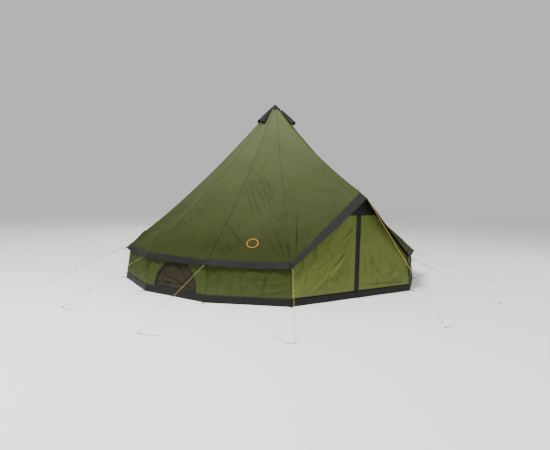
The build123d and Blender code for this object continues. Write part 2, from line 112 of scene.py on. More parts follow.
# Material tools
def newTree(name, inputs, outputs):
    tree = bpy.data.node_groups.new(name, "ShaderNodeTree")
    for label, kind, value in inputs:
        socket = tree.interface.new_socket(label, in_out="INPUT", socket_type=kind)
        if value is not None:
            socket.default_value = value
    for label, kind in outputs:
        tree.interface.new_socket(label, in_out="OUTPUT", socket_type=kind)
    return tree, tree.nodes.new("NodeGroupInput"), tree.nodes.new("NodeGroupOutput")


def math2(tree, operation, a, b=None, clamp=False):
    node = tree.nodes.new("ShaderNodeMath")
    node.operation = operation
    node.use_clamp = clamp
    for i, value in enumerate((a, b)):
        if value is None:
            continue
        if isinstance(value, (int, float)):
            node.inputs[i].default_value = value
        else:
            tree.links.new(value, node.inputs[i])
    return node.outputs[0]


def mixColours(tree, share, a, b, how="MIX"):
    node = tree.nodes.new("ShaderNodeMix")
    node.data_type = "RGBA"
    node.blend_type = how
    for socket, value in ((node.inputs[0], share), (node.inputs[6], a), (node.inputs[7], b)):
        if isinstance(value, (int, float, tuple)):
            socket.default_value = value
        else:
            tree.links.new(value, socket)
    return node.outputs[2]


def noiseNode(tree, vector, scale, detail=3.0, rough=0.55, stretch=None):
    if stretch:
        mapping = tree.nodes.new("ShaderNodeMapping")
        mapping.inputs["Scale"].default_value = stretch
        tree.links.new(vector, mapping.inputs["Vector"])
        vector = mapping.outputs[0]
    node = tree.nodes.new("ShaderNodeTexNoise")
    node.inputs["Scale"].default_value = scale
    node.inputs["Detail"].default_value = detail
    node.inputs["Roughness"].default_value = rough
    tree.links.new(vector, node.inputs["Vector"])
    return node.outputs[0]


def rangeNode(tree, value, low, high, outLow=0.0, outHigh=1.0):
    node = tree.nodes.new("ShaderNodeMapRange")
    for name, number in (("From Min", low), ("From Max", high), ("To Min", outLow), ("To Max", outHigh)):
        node.inputs[name].default_value = number
    tree.links.new(value, node.inputs["Value"])
    return node.outputs[0]


def weaveTree():
    # Plain weave over and under, in the piece's own UV map, which is in metres.
    tree, source, out = newTree(
        "weave",
        [("Vector", "NodeSocketVector", None), ("Threads", "NodeSocketFloat", 900.0)],
        [("Height", "NodeSocketFloat"), ("Shade", "NodeSocketFloat")],
    )
    apart = tree.nodes.new("ShaderNodeSeparateXYZ")
    tree.links.new(source.outputs["Vector"], apart.inputs[0])
    turns = math2(tree, "MULTIPLY", source.outputs["Threads"], pi)
    across = math2(tree, "SINE", math2(tree, "MULTIPLY", apart.outputs[0], turns))
    along = math2(tree, "SINE", math2(tree, "MULTIPLY", apart.outputs[1], turns))
    height = math2(tree, "MULTIPLY", across, along)
    tree.links.new(height, out.inputs["Height"])
    uneven = noiseNode(tree, source.outputs["Vector"], 260.0, 2.0, 0.5, (1.0, 0.12, 1.0))
    shade = math2(tree, "MULTIPLY_ADD", height, 0.25)
    shade.node.inputs[2].default_value = 0.25
    tree.links.new(math2(tree, "ADD", shade, uneven), out.inputs["Shade"])
    return tree


def weatherAndTopLightTree():
    # Lighter high up as painted top light, dusty near the ground, with uneven blotches.
    tree, source, out = newTree(
        "weatherAndTopLight",
        [
            ("Colour", "NodeSocketColor", (0.2, 0.2, 0.2, 1)),
            ("TopLitColour", "NodeSocketColor", (0.4, 0.4, 0.4, 1)),
            ("Dust", "NodeSocketColor", (0.35, 0.3, 0.22, 1)),
            ("TopLight", "NodeSocketFloat", 0.5),
            ("Dust Amount", "NodeSocketFloat", 0.3),
            ("Blotch", "NodeSocketFloat", 0.12),
        ],
        [("Colour", "NodeSocketColor"), ("Dusty", "NodeSocketFloat")],
    )
    place = tree.nodes.new("ShaderNodeTexCoord").outputs["Object"]
    apart = tree.nodes.new("ShaderNodeSeparateXYZ")
    tree.links.new(place, apart.inputs[0])
    broad = noiseNode(tree, place, 1.3, 4.0, 0.6)
    fine = noiseNode(tree, place, 9.0, 4.0, 0.65)
    # Painted top light: the cloth turns to its lighter second colour higher up, unevenly.
    height = math2(tree, "MULTIPLY_ADD", broad, 0.9)
    tree.links.new(apart.outputs[2], height.node.inputs[2])
    high = rangeNode(tree, height, 1.1, 3.5)
    topLightAmount = math2(tree, "MULTIPLY", high, source.outputs["TopLight"], True)
    colour = mixColours(tree, topLightAmount, source.outputs["Colour"], source.outputs["TopLitColour"])
    low = rangeNode(tree, apart.outputs[2], 0.34, 0.0)
    dusty = math2(tree, "MULTIPLY", math2(tree, "MULTIPLY", low, fine), source.outputs["Dust Amount"], True)
    colour = mixColours(tree, dusty, colour, source.outputs["Dust"])
    patchy = math2(tree, "SUBTRACT", math2(tree, "ADD", broad, fine), 1.0)
    lift = math2(tree, "MULTIPLY_ADD", patchy, source.outputs["Blotch"])
    lift.node.inputs[2].default_value = 1.0
    scaled = tree.nodes.new("ShaderNodeVectorMath")
    scaled.operation = "SCALE"
    tree.links.new(colour, scaled.inputs[0])
    tree.links.new(lift, scaled.inputs["Scale"])
    tree.links.new(scaled.outputs[0], out.inputs["Colour"])
    tree.links.new(dusty, out.inputs["Dusty"])
    return tree


def crumpleTree():
    # Small soft creases, stretched along one way of the cloth.
    tree, source, out = newTree(
        "crumple",
        [("Vector", "NodeSocketVector", None), ("Fineness", "NodeSocketFloat", 5.0)],
        [("Height", "NodeSocketFloat")],
    )
    total = None
    for turn, share in ((0.5, 1.0), (-0.7, 0.8), (1.3, 0.5)):
        mapping = tree.nodes.new("ShaderNodeMapping")
        mapping.inputs["Rotation"].default_value = (0.3 * turn, 0.2, turn)
        mapping.inputs["Scale"].default_value = (1.0, 0.28, 0.7)
        tree.links.new(source.outputs["Vector"], mapping.inputs["Vector"])
        node = tree.nodes.new("ShaderNodeTexNoise")
        node.inputs["Detail"].default_value = 2.0
        node.inputs["Distortion"].default_value = 0.6
        tree.links.new(mapping.outputs[0], node.inputs["Vector"])
        tree.links.new(source.outputs["Fineness"], node.inputs["Scale"])
        fold = math2(tree, "ABSOLUTE", math2(tree, "SUBTRACT", node.outputs[0], 0.5))
        part = math2(tree, "MULTIPLY", fold, -share)
        total = part if total is None else math2(tree, "ADD", total, part)
    tree.links.new(total, out.inputs["Height"])
    return tree


def wearTree():
    # Scratches and rubbed spots on metal, wood or plastic.
    tree, source, out = newTree(
        "wear",
        [
            ("Colour", "NodeSocketColor", (0.3, 0.3, 0.3, 1)),
            ("Worn", "NodeSocketColor", (0.6, 0.6, 0.6, 1)),
            ("Amount", "NodeSocketFloat", 0.3),
            ("Roughness", "NodeSocketFloat", 0.35),
            ("Fineness", "NodeSocketFloat", 30.0),
        ],
        [("Colour", "NodeSocketColor"), ("Roughness", "NodeSocketFloat"), ("Height", "NodeSocketFloat")],
    )
    place = tree.nodes.new("ShaderNodeTexCoord").outputs["Object"]
    spots = tree.nodes.new("ShaderNodeTexNoise")
    spots.inputs["Detail"].default_value = 6.0
    tree.links.new(place, spots.inputs["Vector"])
    tree.links.new(source.outputs["Fineness"], spots.inputs["Scale"])
    lines = noiseNode(tree, place, 140.0, 2.0, 0.5, (1.0, 1.0, 0.06))
    marks = math2(tree, "ADD", spots.outputs[0], math2(tree, "MULTIPLY", lines, 0.5))
    mask = rangeNode(tree, marks, 0.78, 0.95)
    worn = math2(tree, "MULTIPLY", mask, source.outputs["Amount"], True)
    colour = mixColours(tree, worn, source.outputs["Colour"], source.outputs["Worn"])
    tree.links.new(colour, out.inputs["Colour"])
    rough = math2(tree, "MULTIPLY_ADD", lines, 0.25)
    tree.links.new(source.outputs["Roughness"], rough.node.inputs[2])
    tree.links.new(rough, out.inputs["Roughness"])
    tree.links.new(lines, out.inputs["Height"])
    return tree


weave, weatherAndTopLight, crumple, wear = weaveTree(), weatherAndTopLightTree(), crumpleTree(), wearTree()


def placeGroup(material, group, values):
    node = material.node_tree.nodes.new("ShaderNodeGroup")
    node.node_tree = group
    for name, value in values.items():
        node.inputs[name].default_value = value
    return node


def addBumps(material, shader, bumps):
    # Chain (height, distance) pairs into the shader's normal.
    before = None
    for height, distance in bumps:
        bump = material.node_tree.nodes.new("ShaderNodeBump")
        bump.inputs["Distance"].default_value = distance
        material.node_tree.links.new(height, bump.inputs["Height"])
        if before:
            material.node_tree.links.new(before, bump.inputs["Normal"])
        before = bump.outputs[0]
    material.node_tree.links.new(before, shader.inputs["Normal"])


def rgba(hexColour):
    parts = [int(hexColour[i:i + 2], 16) / 255 for i in (0, 2, 4)]
    linear = [p / 12.92 if p <= 0.04045 else ((p + 0.055) / 1.055) ** 2.4 for p in parts]
    return (*linear, 1.0)


def clothMaterial(name, colour, topLitColour, rough=0.85, threads=900.0, topLightAmount=0.5, dust=0.5,
                  blotch=0.12, crease=0.02, fineness=5.0, clear=0.0):
    material = bpy.data.materials.new(name)
    material.use_nodes = True
    tree = material.node_tree
    shader = tree.nodes["Principled BSDF"]
    shader.inputs["Specular IOR Level"].default_value = 0.12
    coords = tree.nodes.new("ShaderNodeTexCoord")
    # The group below paints top light, lightening the cloth higher up, besides adding dust and blotches.
    worn = placeGroup(material, weatherAndTopLight, {
        "Colour": rgba(colour), "TopLitColour": rgba(topLitColour), "TopLight": topLightAmount, "Dust Amount": dust,
        "Blotch": blotch,
    })
    threadsNode = placeGroup(material, weave, {"Threads": threads})
    tree.links.new(coords.outputs["UV"], threadsNode.inputs["Vector"])
    folds = placeGroup(material, crumple, {"Fineness": fineness})
    tree.links.new(coords.outputs["Object"], folds.inputs["Vector"])
    dark = tuple(c * 0.72 for c in rgba(colour)[:3]) + (1.0,)
    shade = rangeNode(tree, threadsNode.outputs["Shade"], 0.3, 1.0, 0.22, 0.0)
    tree.links.new(mixColours(tree, shade, worn.outputs["Colour"], dark), shader.inputs["Base Color"])
    dusted = math2(tree, "MULTIPLY_ADD", worn.outputs["Dusty"], 0.1)
    dusted.node.inputs[2].default_value = rough
    tree.links.new(dusted, shader.inputs["Roughness"])
    addBumps(material, shader, [(folds.outputs["Height"], crease), (threadsNode.outputs["Height"], 0.0002)])
    if clear:
        weaveHoles = rangeNode(tree, threadsNode.outputs["Height"], -0.2, 1.0, 1.0 - clear, 1.0)
        tree.links.new(weaveHoles, shader.inputs["Alpha"])
    return material


def hardMaterial(name, colour, worn, rough=0.35, metal=1.0, amount=0.35, fineness=30.0, bump=0.0003):
    material = bpy.data.materials.new(name)
    material.use_nodes = True
    tree = material.node_tree
    shader = tree.nodes["Principled BSDF"]
    shader.inputs["Metallic"].default_value = metal
    group = placeGroup(material, wear, {
        "Colour": rgba(colour), "Worn": rgba(worn), "Amount": amount, "Roughness": rough,
        "Fineness": fineness,
    })
    tree.links.new(group.outputs["Colour"], shader.inputs["Base Color"])
    tree.links.new(group.outputs["Roughness"], shader.inputs["Roughness"])
    addBumps(material, shader, [(group.outputs["Height"], bump)])
    return material


finishes = {
    # Each cloth's second colour is painted top light, mixed in higher up by the amount given with it.
    "roof": clothMaterial("roofCanvas", "2A300F", "5D6345", topLightAmount=0.8, dust=0.05, crease=0.055, fineness=4.0,
                          rough=0.74),
    "wall": clothMaterial("wallCanvas", "323A13", "4A5228", topLightAmount=0.2, dust=0.12, crease=0.016, fineness=6.0,
                          rough=0.66),
    # Painted light: the door's canvas is lighter and greener than the walls' to stand for light shining
    # through the thin cloth.
    "door": clothMaterial("doorCanvasPaintedBacklight", "565F2B", "6A7345", topLightAmount=0.3, dust=0.12, crease=0.016, fineness=6.0,
                          rough=0.68),
    "trim": clothMaterial("trimCanvas", "1C1B1A", "34322F", topLightAmount=0.5, dust=0.02, crease=0.012,
                          fineness=12.0, rough=0.6),
    "cover": clothMaterial("coverCanvas", "443F2A", "4F4935", topLightAmount=0.1, dust=0.1, crease=0.03),
    "ground": clothMaterial("groundCanvas", "2E2F2C", "3A3B37", rough=0.55, threads=500.0, fineness=3.0),
    "mesh": clothMaterial("insectMesh", "141312", "201F1E", threads=700.0, dust=0.1, crease=0.004,
                          clear=0.78),
    "webbing": clothMaterial("webbing", "2F2E2C", "4A4844", threads=420.0, dust=0.4, crease=0.002,
                             fineness=20.0),
    "paleWebbing": clothMaterial("paleWebbing", "8E8660", "A59D7C", threads=420.0, dust=0.3, crease=0.002,
                                 fineness=20.0),
    "zipTape": clothMaterial("zipTape", "1C1B1B", "343231", threads=1100.0, dust=0.3, crease=0.002),
    "thread": clothMaterial("sewingThread", "2B2F17", "4A4D33", threads=2500.0, dust=0.2, crease=0.0004),
    "paleThread": clothMaterial("paleThread", "626340", "7C7B56", threads=2500.0, dust=0.2, crease=0.0004),
    "ringThread": clothMaterial("ringThread", "B5762C", "C99556", threads=1500.0, dust=0.1, crease=0.0006),
    "rope": clothMaterial("guyRope", "AE8F48", "C6AD70", rough=0.7, threads=600.0, dust=0.2, crease=0.0012,
                          fineness=160.0),
    "pole": hardMaterial("poleSteel", "8E9092", "C4C6C8", rough=0.3),
    "peg": hardMaterial("pegSteel", "55534E", "9A9790", rough=0.42, amount=0.6),
    "ring": hardMaterial("ringSteel", "83827D", "C9C8C4", rough=0.28),
    "runner": hardMaterial("runnerMetal", "6D6C68", "B8B6B0", rough=0.36, amount=0.5),
    "plastic": hardMaterial("blackPlastic", "1E1E1F", "4A4A4B", rough=0.5, metal=0.0),
    "zip": hardMaterial("zipCoil", "242322", "57534E", rough=0.45, metal=0.0, fineness=80.0),
    "wood": hardMaterial("toggleWood", "A98253", "6F4E2C", rough=0.55, metal=0.0, amount=0.7, fineness=60.0),
}
print("materials made")


# Guy ropes
guy = {
    "ropeRadius": 0.002,
    "ringOut": 0.046,
    "ringDrop": 0.014,
    "ringReach": 0.017,     # from the ring's centre to the middle of the rope
    "pegRadius": 3.72,
    "pastPeg": 0.01,
    "besidePeg": 0.0056,
    "atPeg": 0.009,
    "easing": 0.024,        # from a hook or ring to the point that keeps the long run straight
    "awningReach": 0.159,
    "spike": (0.0, -2.2304, 1.491),
}
tails = {  # out from the tent, sideways, up
    "straight": [(13, 46, 6), (6, 98, 2.5), (-8, 150, 2.5), (-5, 203, 2.5), (-12, 250, 2.5)],
    "inward": [(8, 40, 6), (-32, 76, 2.5), (-84, 101, 2.5), (-133, 134, 2.5), (-188, 158, 2.5),
               (-235, 195, 2.5)],
    "outward": [(15, 42, 6), (32, 88, 2.5), (64, 124, 2.5), (92, 164, 2.5)],
    "short": [(12, 36, 6), (2, 74, 2.5), (6, 112, 2.5)],
}
guyRuns = [  # corner, steps beside it, further out, side of the free end, its shape, whole length
    (-6, 0, 0, 1, "straight", 1.503),
    (-5, 0.25, -0.14, -1, "short", 1.285),
    (-4, 0.12, -0.125, -1, "outward", 1.335),
    (-3, 0.13, -0.03, 1, "straight", 1.488),
    (-2, 0.01, 0.15, 1, "straight", 1.643),
    (-1, -0.095, 0.135, -1, "inward", 1.71),
    (0, -0.05, 0.035, 1, "short", 2.255),
    (1, -0.06, 0, 1, "short", 1.366),
    (2, 0.08, 0.03, -1, "outward", 1.471),
    (3, 0.05, 0.05, -1, "straight", 1.551),
    (4, 0, 0, 1, "straight", 1.503),
    (5, 0, 0, -1, "inward", 1.577),
    (6, 0, 0, 1, "outward", 1.438),
    (7, 0, 0, -1, "straight", 1.503),
]


def ridgeLine(k, share):
    # A ridge from the crown, at 0, down to the eave or the door's point, at 1.
    share = np.asarray(share, float)
    endR, endZ = plan["eaveRadius"], plan["eaveHeight"]
    if k == 0:
        endR, endZ = plan["peakReach"], plan["peakHeight"]
    run, drop = endR - plan["crownRadius"], plan["crownHeight"] - endZ
    length = math.hypot(run, drop)
    bow = 4.25 * share * (1 - share) * plan["ridgeSag"]
    r = plan["crownRadius"] + run * share - bow * drop / length
    z = plan["crownHeight"] - drop * share - bow * run / length
    return at(k, r, z)


awningTip = ridgeLine(0, 1.0) + unit(ridgeLine(0, 1.0) - ridgeLine(0, 0.6)) * guy["awningReach"]


def ringCentre(k):
    return at(k, plan["eaveRadius"] + plan["valanceOut"] + guy["ringOut"],
              plan["eaveHeight"] - plan["valanceDrop"] - guy["ringDrop"])


def ropeRoute(k, beside, further, turn, tail):
    # Ring or spike, over the peg's hook, then the free end along the ground.
    side, out = alongside(k + beside), at(k + beside, 1, 0)
    place = at(k + beside, guy["pegRadius"] + further, 0)
    hook = place + out * guy["pastPeg"] - side * turn * guy["besidePeg"] + [0, 0, guy["atPeg"]]
    if k:
        start = ringCentre(k) + at(k, guy["ringReach"], 0)
        route = [start, start + unit(hook - start) * guy["easing"]]
    else:
        edge = awningTip + [0, 0, 0.005]
        route = [np.array(guy["spike"]), edge, edge + unit(hook - edge) * guy["easing"]]
    route += [hook + unit(route[-1] - hook) * guy["easing"], hook]
    for u, v, z in tails[tail]:
        route.append(place + out * u / 1000 + side * turn * v / 1000 + [0, 0, z / 1000])
    return route


for number, (k, beside, further, turn, tail, length) in enumerate(guyRuns, 1):
    curve = bpy.data.curves.new(f"guyRope{number:02d}", "CURVE")
    curve.dimensions = "3D"
    route = ropeRoute(k, beside, further, turn, tail)
    spline = curve.splines.new("NURBS")
    spline.points.add(len(route) - 1)
    for point, place in zip(spline.points, route):
        point.co = (*place, 1.0)
    spline.order_u = 3
    spline.use_endpoint_u = True
    spline.resolution_u = 10
    curve.bevel_depth = guy["ropeRadius"]
    curve.bevel_resolution = 3
    curve.use_fill_caps = True
    curve.materials.append(finishes["rope"])
    rope = bpy.data.objects.new(curve.name, curve)
    bpy.context.scene.collection.objects.link(rope)
    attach(rope, "tent")
    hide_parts(f"guy_line_{number:02d}")
print("guy ropes laid")


# Cloth tools
def ripples(points, length, height, seed, count=9):
    # Gentle waves of about one length in all directions.
    rng = np.random.default_rng(seed)
    total = np.zeros(points.shape[:-1])
    for _ in range(count):
        way = unit(rng.normal(size=3)) * 2 * pi / (length * rng.uniform(0.6, 1.7))
        total += np.sin(points @ way + rng.uniform(0, 2 * pi))
    return total * height / math.sqrt(count)


def creaseField(points, creases):
    # Sum of folds. Each runs from a to b, with a width, a height and where it is strongest, 0 to 1.
    total = np.zeros(points.shape[:-1])
    for a, b, width, height, strong in creases:
        span = b - a
        share = (points - a) @ span / (span @ span)
        held = np.clip(share, 0, 1)
        away = np.linalg.norm(points - (a + held[..., None] * span), axis=-1)
        taper = np.where(held < strong, held / max(strong, 1e-3), (1 - held) / max(1 - strong, 1e-3))
        taper = np.sqrt(np.clip(taper, 0, 1))
        total += height * taper * np.exp(-(away / (width * (0.55 + 0.45 * taper))) ** 1.25)
    return total


def linkObject(name, mesh, material):
    if not mesh.materials:
        mesh.materials.append(material)
    piece = bpy.data.objects.new(name, mesh)
    bpy.context.scene.collection.objects.link(piece)
    return piece


def settle(piece):
    # Turn the modifiers' result into the piece's plain mesh.
    depsgraph = bpy.context.evaluated_depsgraph_get()
    mesh = bpy.data.meshes.new_from_object(piece.evaluated_get(depsgraph), depsgraph=depsgraph)
    mesh.name = piece.name
    piece.modifiers.clear()
    piece.data = mesh
    return piece


def clothPiece(name, patches, material, thickness=0.0015, merge=1e-4):
    # patches: (points, uv) grids whose columns run round the tent and whose rows run up.
    points, uvs, faces, start = [], [], [], 0
    for grid, uv in patches:
        rows, columns = grid.shape[:2]
        index = start + np.arange(rows * columns).reshape(rows, columns)
        quads = np.stack([index[:-1, :-1], index[:-1, 1:], index[1:, 1:], index[1:, :-1]], -1)
        faces.append(quads.reshape(-1, 4))
        points.append(grid.reshape(-1, 3))
        uvs.append(uv.reshape(-1, 2))
        start += rows * columns
    points, uvs, faces = np.concatenate(points), np.concatenate(uvs), np.concatenate(faces)
    mesh = bpy.data.meshes.new(name)
    mesh.from_pydata(points.tolist(), [], faces.tolist())
    layer = mesh.uv_layers.new(name="UVMap")
    layer.data.foreach_set("uv", uvs[faces.reshape(-1)].astype(np.float32).reshape(-1))
    mesh.polygons.foreach_set("use_smooth", [True] * len(mesh.polygons))
    shape = bmesh.new()
    shape.from_mesh(mesh)
    bmesh.ops.remove_doubles(shape, verts=shape.verts, dist=merge)
    shape.to_mesh(mesh)
    shape.free()
    piece = linkObject(name, mesh, material)
    if thickness:
        solid = piece.modifiers.new("thickness", "SOLIDIFY")
        solid.thickness = thickness
        solid.offset = -1.0
        settle(piece)
    return piece


def fillHoles(piece):
    shape = bmesh.new()
    shape.from_mesh(piece.data)
    bmesh.ops.holes_fill(shape, edges=[e for e in shape.edges if e.is_boundary])
    bmesh.ops.recalc_face_normals(shape, faces=shape.faces)
    shape.to_mesh(piece.data)
    shape.free()


def tapePiece(name, lines, material):
    # Flat tapes with rounded edges. lines: (middle points, across, out, half width, thickness).
    patches = []
    for middle, across, out, half, thick in lines:
        ring = [(-1, 0.15), (-0.86, 0), (0.86, 0), (1, 0.15), (1, 0.85), (0.86, 1), (-0.86, 1), (-1, 0.85),
                (-1, 0.15)]
        grid = np.stack([middle + across * half * x + out * thick * y for x, y in ring], 0)
        steps = np.linalg.norm(np.diff(middle, axis=0), axis=-1)
        along = np.broadcast_to(np.concatenate([[0], np.cumsum(steps)]), grid.shape[:2])
        girth = np.array([0, 0.1, 1.9, 2, 2.1, 2.2, 4.0, 4.1, 4.2])[:, None] * half + 0 * along
        patches.append((grid, together(along, girth)))
    piece = clothPiece(name, patches, material, thickness=0)
    fillHoles(piece)
    return piece


def rowTree():
    # Small round bars set along a line, as stitches or zip coil.
    tree = bpy.data.node_groups.new("rowAlongLine", "GeometryNodeTree")
    for label, kind, value in (
        ("Geometry", "NodeSocketGeometry", None), ("Pitch", "NodeSocketFloat", 0.01),
        ("Length", "NodeSocketFloat", 0.006), ("Radius", "NodeSocketFloat", 0.0006),
        ("Sides", "NodeSocketInt", 5), ("Material", "NodeSocketMaterial", None),
    ):
        socket = tree.interface.new_socket(label, in_out="INPUT", socket_type=kind)
        if value is not None:
            socket.default_value = value
    tree.interface.new_socket("Geometry", in_out="OUTPUT", socket_type="NodeSocketGeometry")
    source, out = tree.nodes.new("NodeGroupInput"), tree.nodes.new("NodeGroupOutput")
    line = tree.nodes.new("GeometryNodeMeshToCurve")
    points = tree.nodes.new("GeometryNodeCurveToPoints")
    points.mode = "LENGTH"
    bar = tree.nodes.new("GeometryNodeMeshCylinder")
    turn = tree.nodes.new("FunctionNodeAlignRotationToVector")
    turn.axis = "Z"
    spread = tree.nodes.new("GeometryNodeInstanceOnPoints")
    real = tree.nodes.new("GeometryNodeRealizeInstances")
    paint = tree.nodes.new("GeometryNodeSetMaterial")
    for a, b in (
        (source.outputs["Geometry"], line.inputs["Mesh"]), (line.outputs["Curve"], points.inputs["Curve"]),
        (source.outputs["Pitch"], points.inputs["Length"]), (source.outputs["Sides"], bar.inputs["Vertices"]),
        (source.outputs["Radius"], bar.inputs["Radius"]), (source.outputs["Length"], bar.inputs["Depth"]),
        (points.outputs["Tangent"], turn.inputs["Vector"]),
        (points.outputs["Points"], spread.inputs["Points"]),
        (bar.outputs["Mesh"], spread.inputs["Instance"]), (turn.outputs[0], spread.inputs["Rotation"]),
        (spread.outputs[0], real.inputs[0]), (real.outputs[0], paint.inputs["Geometry"]),
        (source.outputs["Material"], paint.inputs["Material"]), (paint.outputs[0], out.inputs[0]),
    ):
        tree.links.new(a, b)
    return tree


rowAlongLine = rowTree()


def rowPiece(name, lines, material, pitch, length, radius, sides=5):
    # Stitches or teeth along lines of points.
    points, edges, start = [], [], 0
    for line in lines:
        points.append(np.asarray(line))
        edges += [(start + i, start + i + 1) for i in range(len(line) - 1)]
        start += len(line)
    mesh = bpy.data.meshes.new(name)
    mesh.from_pydata(np.concatenate(points).tolist(), edges, [])
    piece = linkObject(name, mesh, material)
    modifier = piece.modifiers.new("rows", "NODES")
    modifier.node_group = rowAlongLine
    values = {"Pitch": pitch, "Length": length, "Radius": radius, "Sides": sides, "Material": material}
    for item in rowAlongLine.interface.items_tree:
        if item.in_out == "INPUT" and item.name in values:
            modifier[item.identifier] = values[item.name]
    return settle(piece)


def finish(piece, body, slot, *nodes):
    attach(piece, body)
    if nodes:
        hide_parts(*nodes)
    return piece


def stitchPiece(name, rows, slot, pitch, length, radius=0.0006, body="tent", thread="thread"):
    return finish(rowPiece(name, rows, finishes[thread], pitch, length, radius, 4), body, slot)


# Roof
roof = {
    "columns": 96, "rows": 121, "hollow": 0.018, "thickness": 0.0016,
    "cornerFolds": 9, "cornerHeight": 0.02, "longFolds": 2, "longHeight": 0.018, "tuck": 0.018, "seed": 11,
    "slope": 3.38, "spread": 2.4, "stepWidth": 0.4512,
}


def roofBase(k, share):
    # The roof before its creases, at any place round it; share goes from 0 at the crown to 1.
    k, share = np.broadcast_arrays(np.asarray(k, float), share)
    low = np.clip(np.floor(k), -7, 6)
    part = k - low
    left, right = np.zeros((*k.shape, 3)), np.zeros((*k.shape, 3))
    for corner in range(-7, 8):
        for side, match in ((left, low == corner), (right, low + 1 == corner)):
            if match.any():
                side[match] = ridgeLine(corner, share[match])
    hollow = roof["hollow"] * 4 * part * (1 - part) * np.sin(pi * np.clip(share, 0, 1)) ** 0.7
    flat = left * (1 - part[..., None]) + right * part[..., None]
    return flat - roofOut(k) * hollow[..., None]


def goreWidth(share):
    return roof["stepWidth"] * (plan["crownRadius"] + roof["spread"] * share)


def roofOut(k):
    return at(k, 0.6, 0.0) + [0, 0, 0.8]


def roofCreases():
    rng = np.random.default_rng(roof["seed"])
    found = []
    for k in cornerPlaces:
        for side in (-1, 1):
            if (k, side) == (1, -1):
                continue
            size = 1.25 if k == -1 else 1.0
            for i in range(roof["cornerFolds"]):
                reach = rng.uniform(0.12, 0.3)
                turn = side * (0.05 + 0.5 * (i / roof["cornerFolds"]) ** 1.2 + rng.uniform(0, 0.05))
                a = roofBase(k + 0.3 * turn, 0.985)
                b = roofBase(k + turn, 0.99 - reach * (1 - 0.5 * abs(turn)))
                width = rng.uniform(0.009, 0.016)
                height = size * roof["cornerHeight"] * rng.uniform(0.4, 1.1)
                found.append((a, b, width, height, 0.3))
    for k in range(-7, 7):
        for _ in range(roof["longFolds"]):
            a, b = rng.uniform(0.08, 0.92, 2)
            top, low = rng.uniform(0.25, 0.6), rng.uniform(0.7, 0.97)
            width, height = rng.uniform(0.03, 0.07), rng.choice([-0.3, 1.0]) * rng.uniform(0.5, 1.2)
            if k != -2:
                height = height * roof["longHeight"]
                found.append((roofBase(k + a, low), roofBase(k + b, top), width, height, 0.45))
    for side in (-1, 1):  # from the point over the door
        for i, (turn, share) in enumerate(((0.25, 0.62), (0.5, 0.72), (0.8, 0.84), (0.9, 0.93), (0.4, 0.5))):
            a, b = roofBase(side * 0.08, 0.985), roofBase(side * turn, share)
            found.append((a, b, 0.018 + 0.003 * i, 0.034, 0.4))
    for k in (-5, -4):  # long folds side by side down the slope
        for i, part in enumerate((0.16, 0.3, 0.42, 0.55, 0.7, 0.84)):
            low, top = rng.uniform(0.88, 0.97), rng.uniform(0.3, 0.5)
            found.append((roofBase(k + part, low), roofBase(k + part * 0.9 + 0.1, top), 0.022, 0.032, 0.6))
    for a, b in (((-1.77, 0.53), (-1.35, 0.73)), ((-1.66, 0.51), (-1.33, 0.66)), ((-1.9, 0.6), (-1.58, 0.75)),
                 ((-1.84, 0.57), (-1.48, 0.75)), ((-1.56, 0.5), (-1.3, 0.6))):
        found.append((roofBase(*a), roofBase(*b), 0.013, 0.03, 0.5))
    for a, b in (((-2.93, 0.92), (-2.62, 0.66)), ((-2.91, 0.83), (-2.42, 0.55)),
                 ((-2.92, 0.77), (-2.5, 0.53)), ((-2.93, 0.72), (-2.55, 0.52)),
                 ((-2.93, 0.66), (-2.58, 0.5)), ((-2.8, 0.88), (-2.3, 0.66))):
        found.append((roofBase(*a), roofBase(*b), 0.016, 0.04, 0.5))
    found.append((roofBase(-1.985, 0.99), roofBase(-1.97, 0.6), 0.01, -0.032, 0.4))
    for k in cornerPlaces + [0]:  # the cloth tucks in beside each seam
        side = 1 if k < 0 else -1
        a, b = roofBase(k + side * 0.025, 0.985), roofBase(k + side * 0.05, 0.3)
        found.append((a, b, 0.013, -roof["tuck"], 0.2))
    return found


roofFolds = roofCreases()


def roofPoint(k, share):
    base = roofBase(k, share)
    share = np.broadcast_to(share, base.shape[:-1])
    edge = np.clip((1 - share) / 0.02, 0, 1) * np.clip(share / 0.1, 0, 1)
    height = creaseField(base, roofFolds) + ripples(base, 0.5, 0.0035, 5) + ripples(base, 0.2, 0.0012, 6)
    ridgeGap = np.abs(np.broadcast_to(k, share.shape) - np.round(k)) * (0.12 + share)
    height = height * (0.25 + 0.75 * np.clip(ridgeGap / 0.06, 0, 1)) * (0.35 + 0.65 * edge)
    return base + roofOut(k) * height[..., None]


shareUp = np.linspace(1, 0, roof["rows"])
for name, first, last in (("roofLeft", -7, -3), ("roofFrontLeft", -3, 0), ("roofFrontRight", 0, 3),
                          ("roofRight", 3, 7)):
    patches = []
    for k in range(first, last):
        places = np.linspace(k, k + 1, roof["columns"] + 1)
        grid = roofPoint(*np.meshgrid(places, shareUp))
        width = np.linalg.norm(grid[:, -1] - grid[:, 0], axis=-1)[:, None]
        up = (1 - shareUp[:, None]) * roof["slope"]
        uv = together((places[None] - k - 0.5) * width, up)
        patches.append((grid, uv))
    piece = clothPiece(name, patches, finishes["roof"], roof["thickness"])
    finish(piece, "tent", "roof_cloth", "roof_gores", "door_gore_left", "door_gore_right")

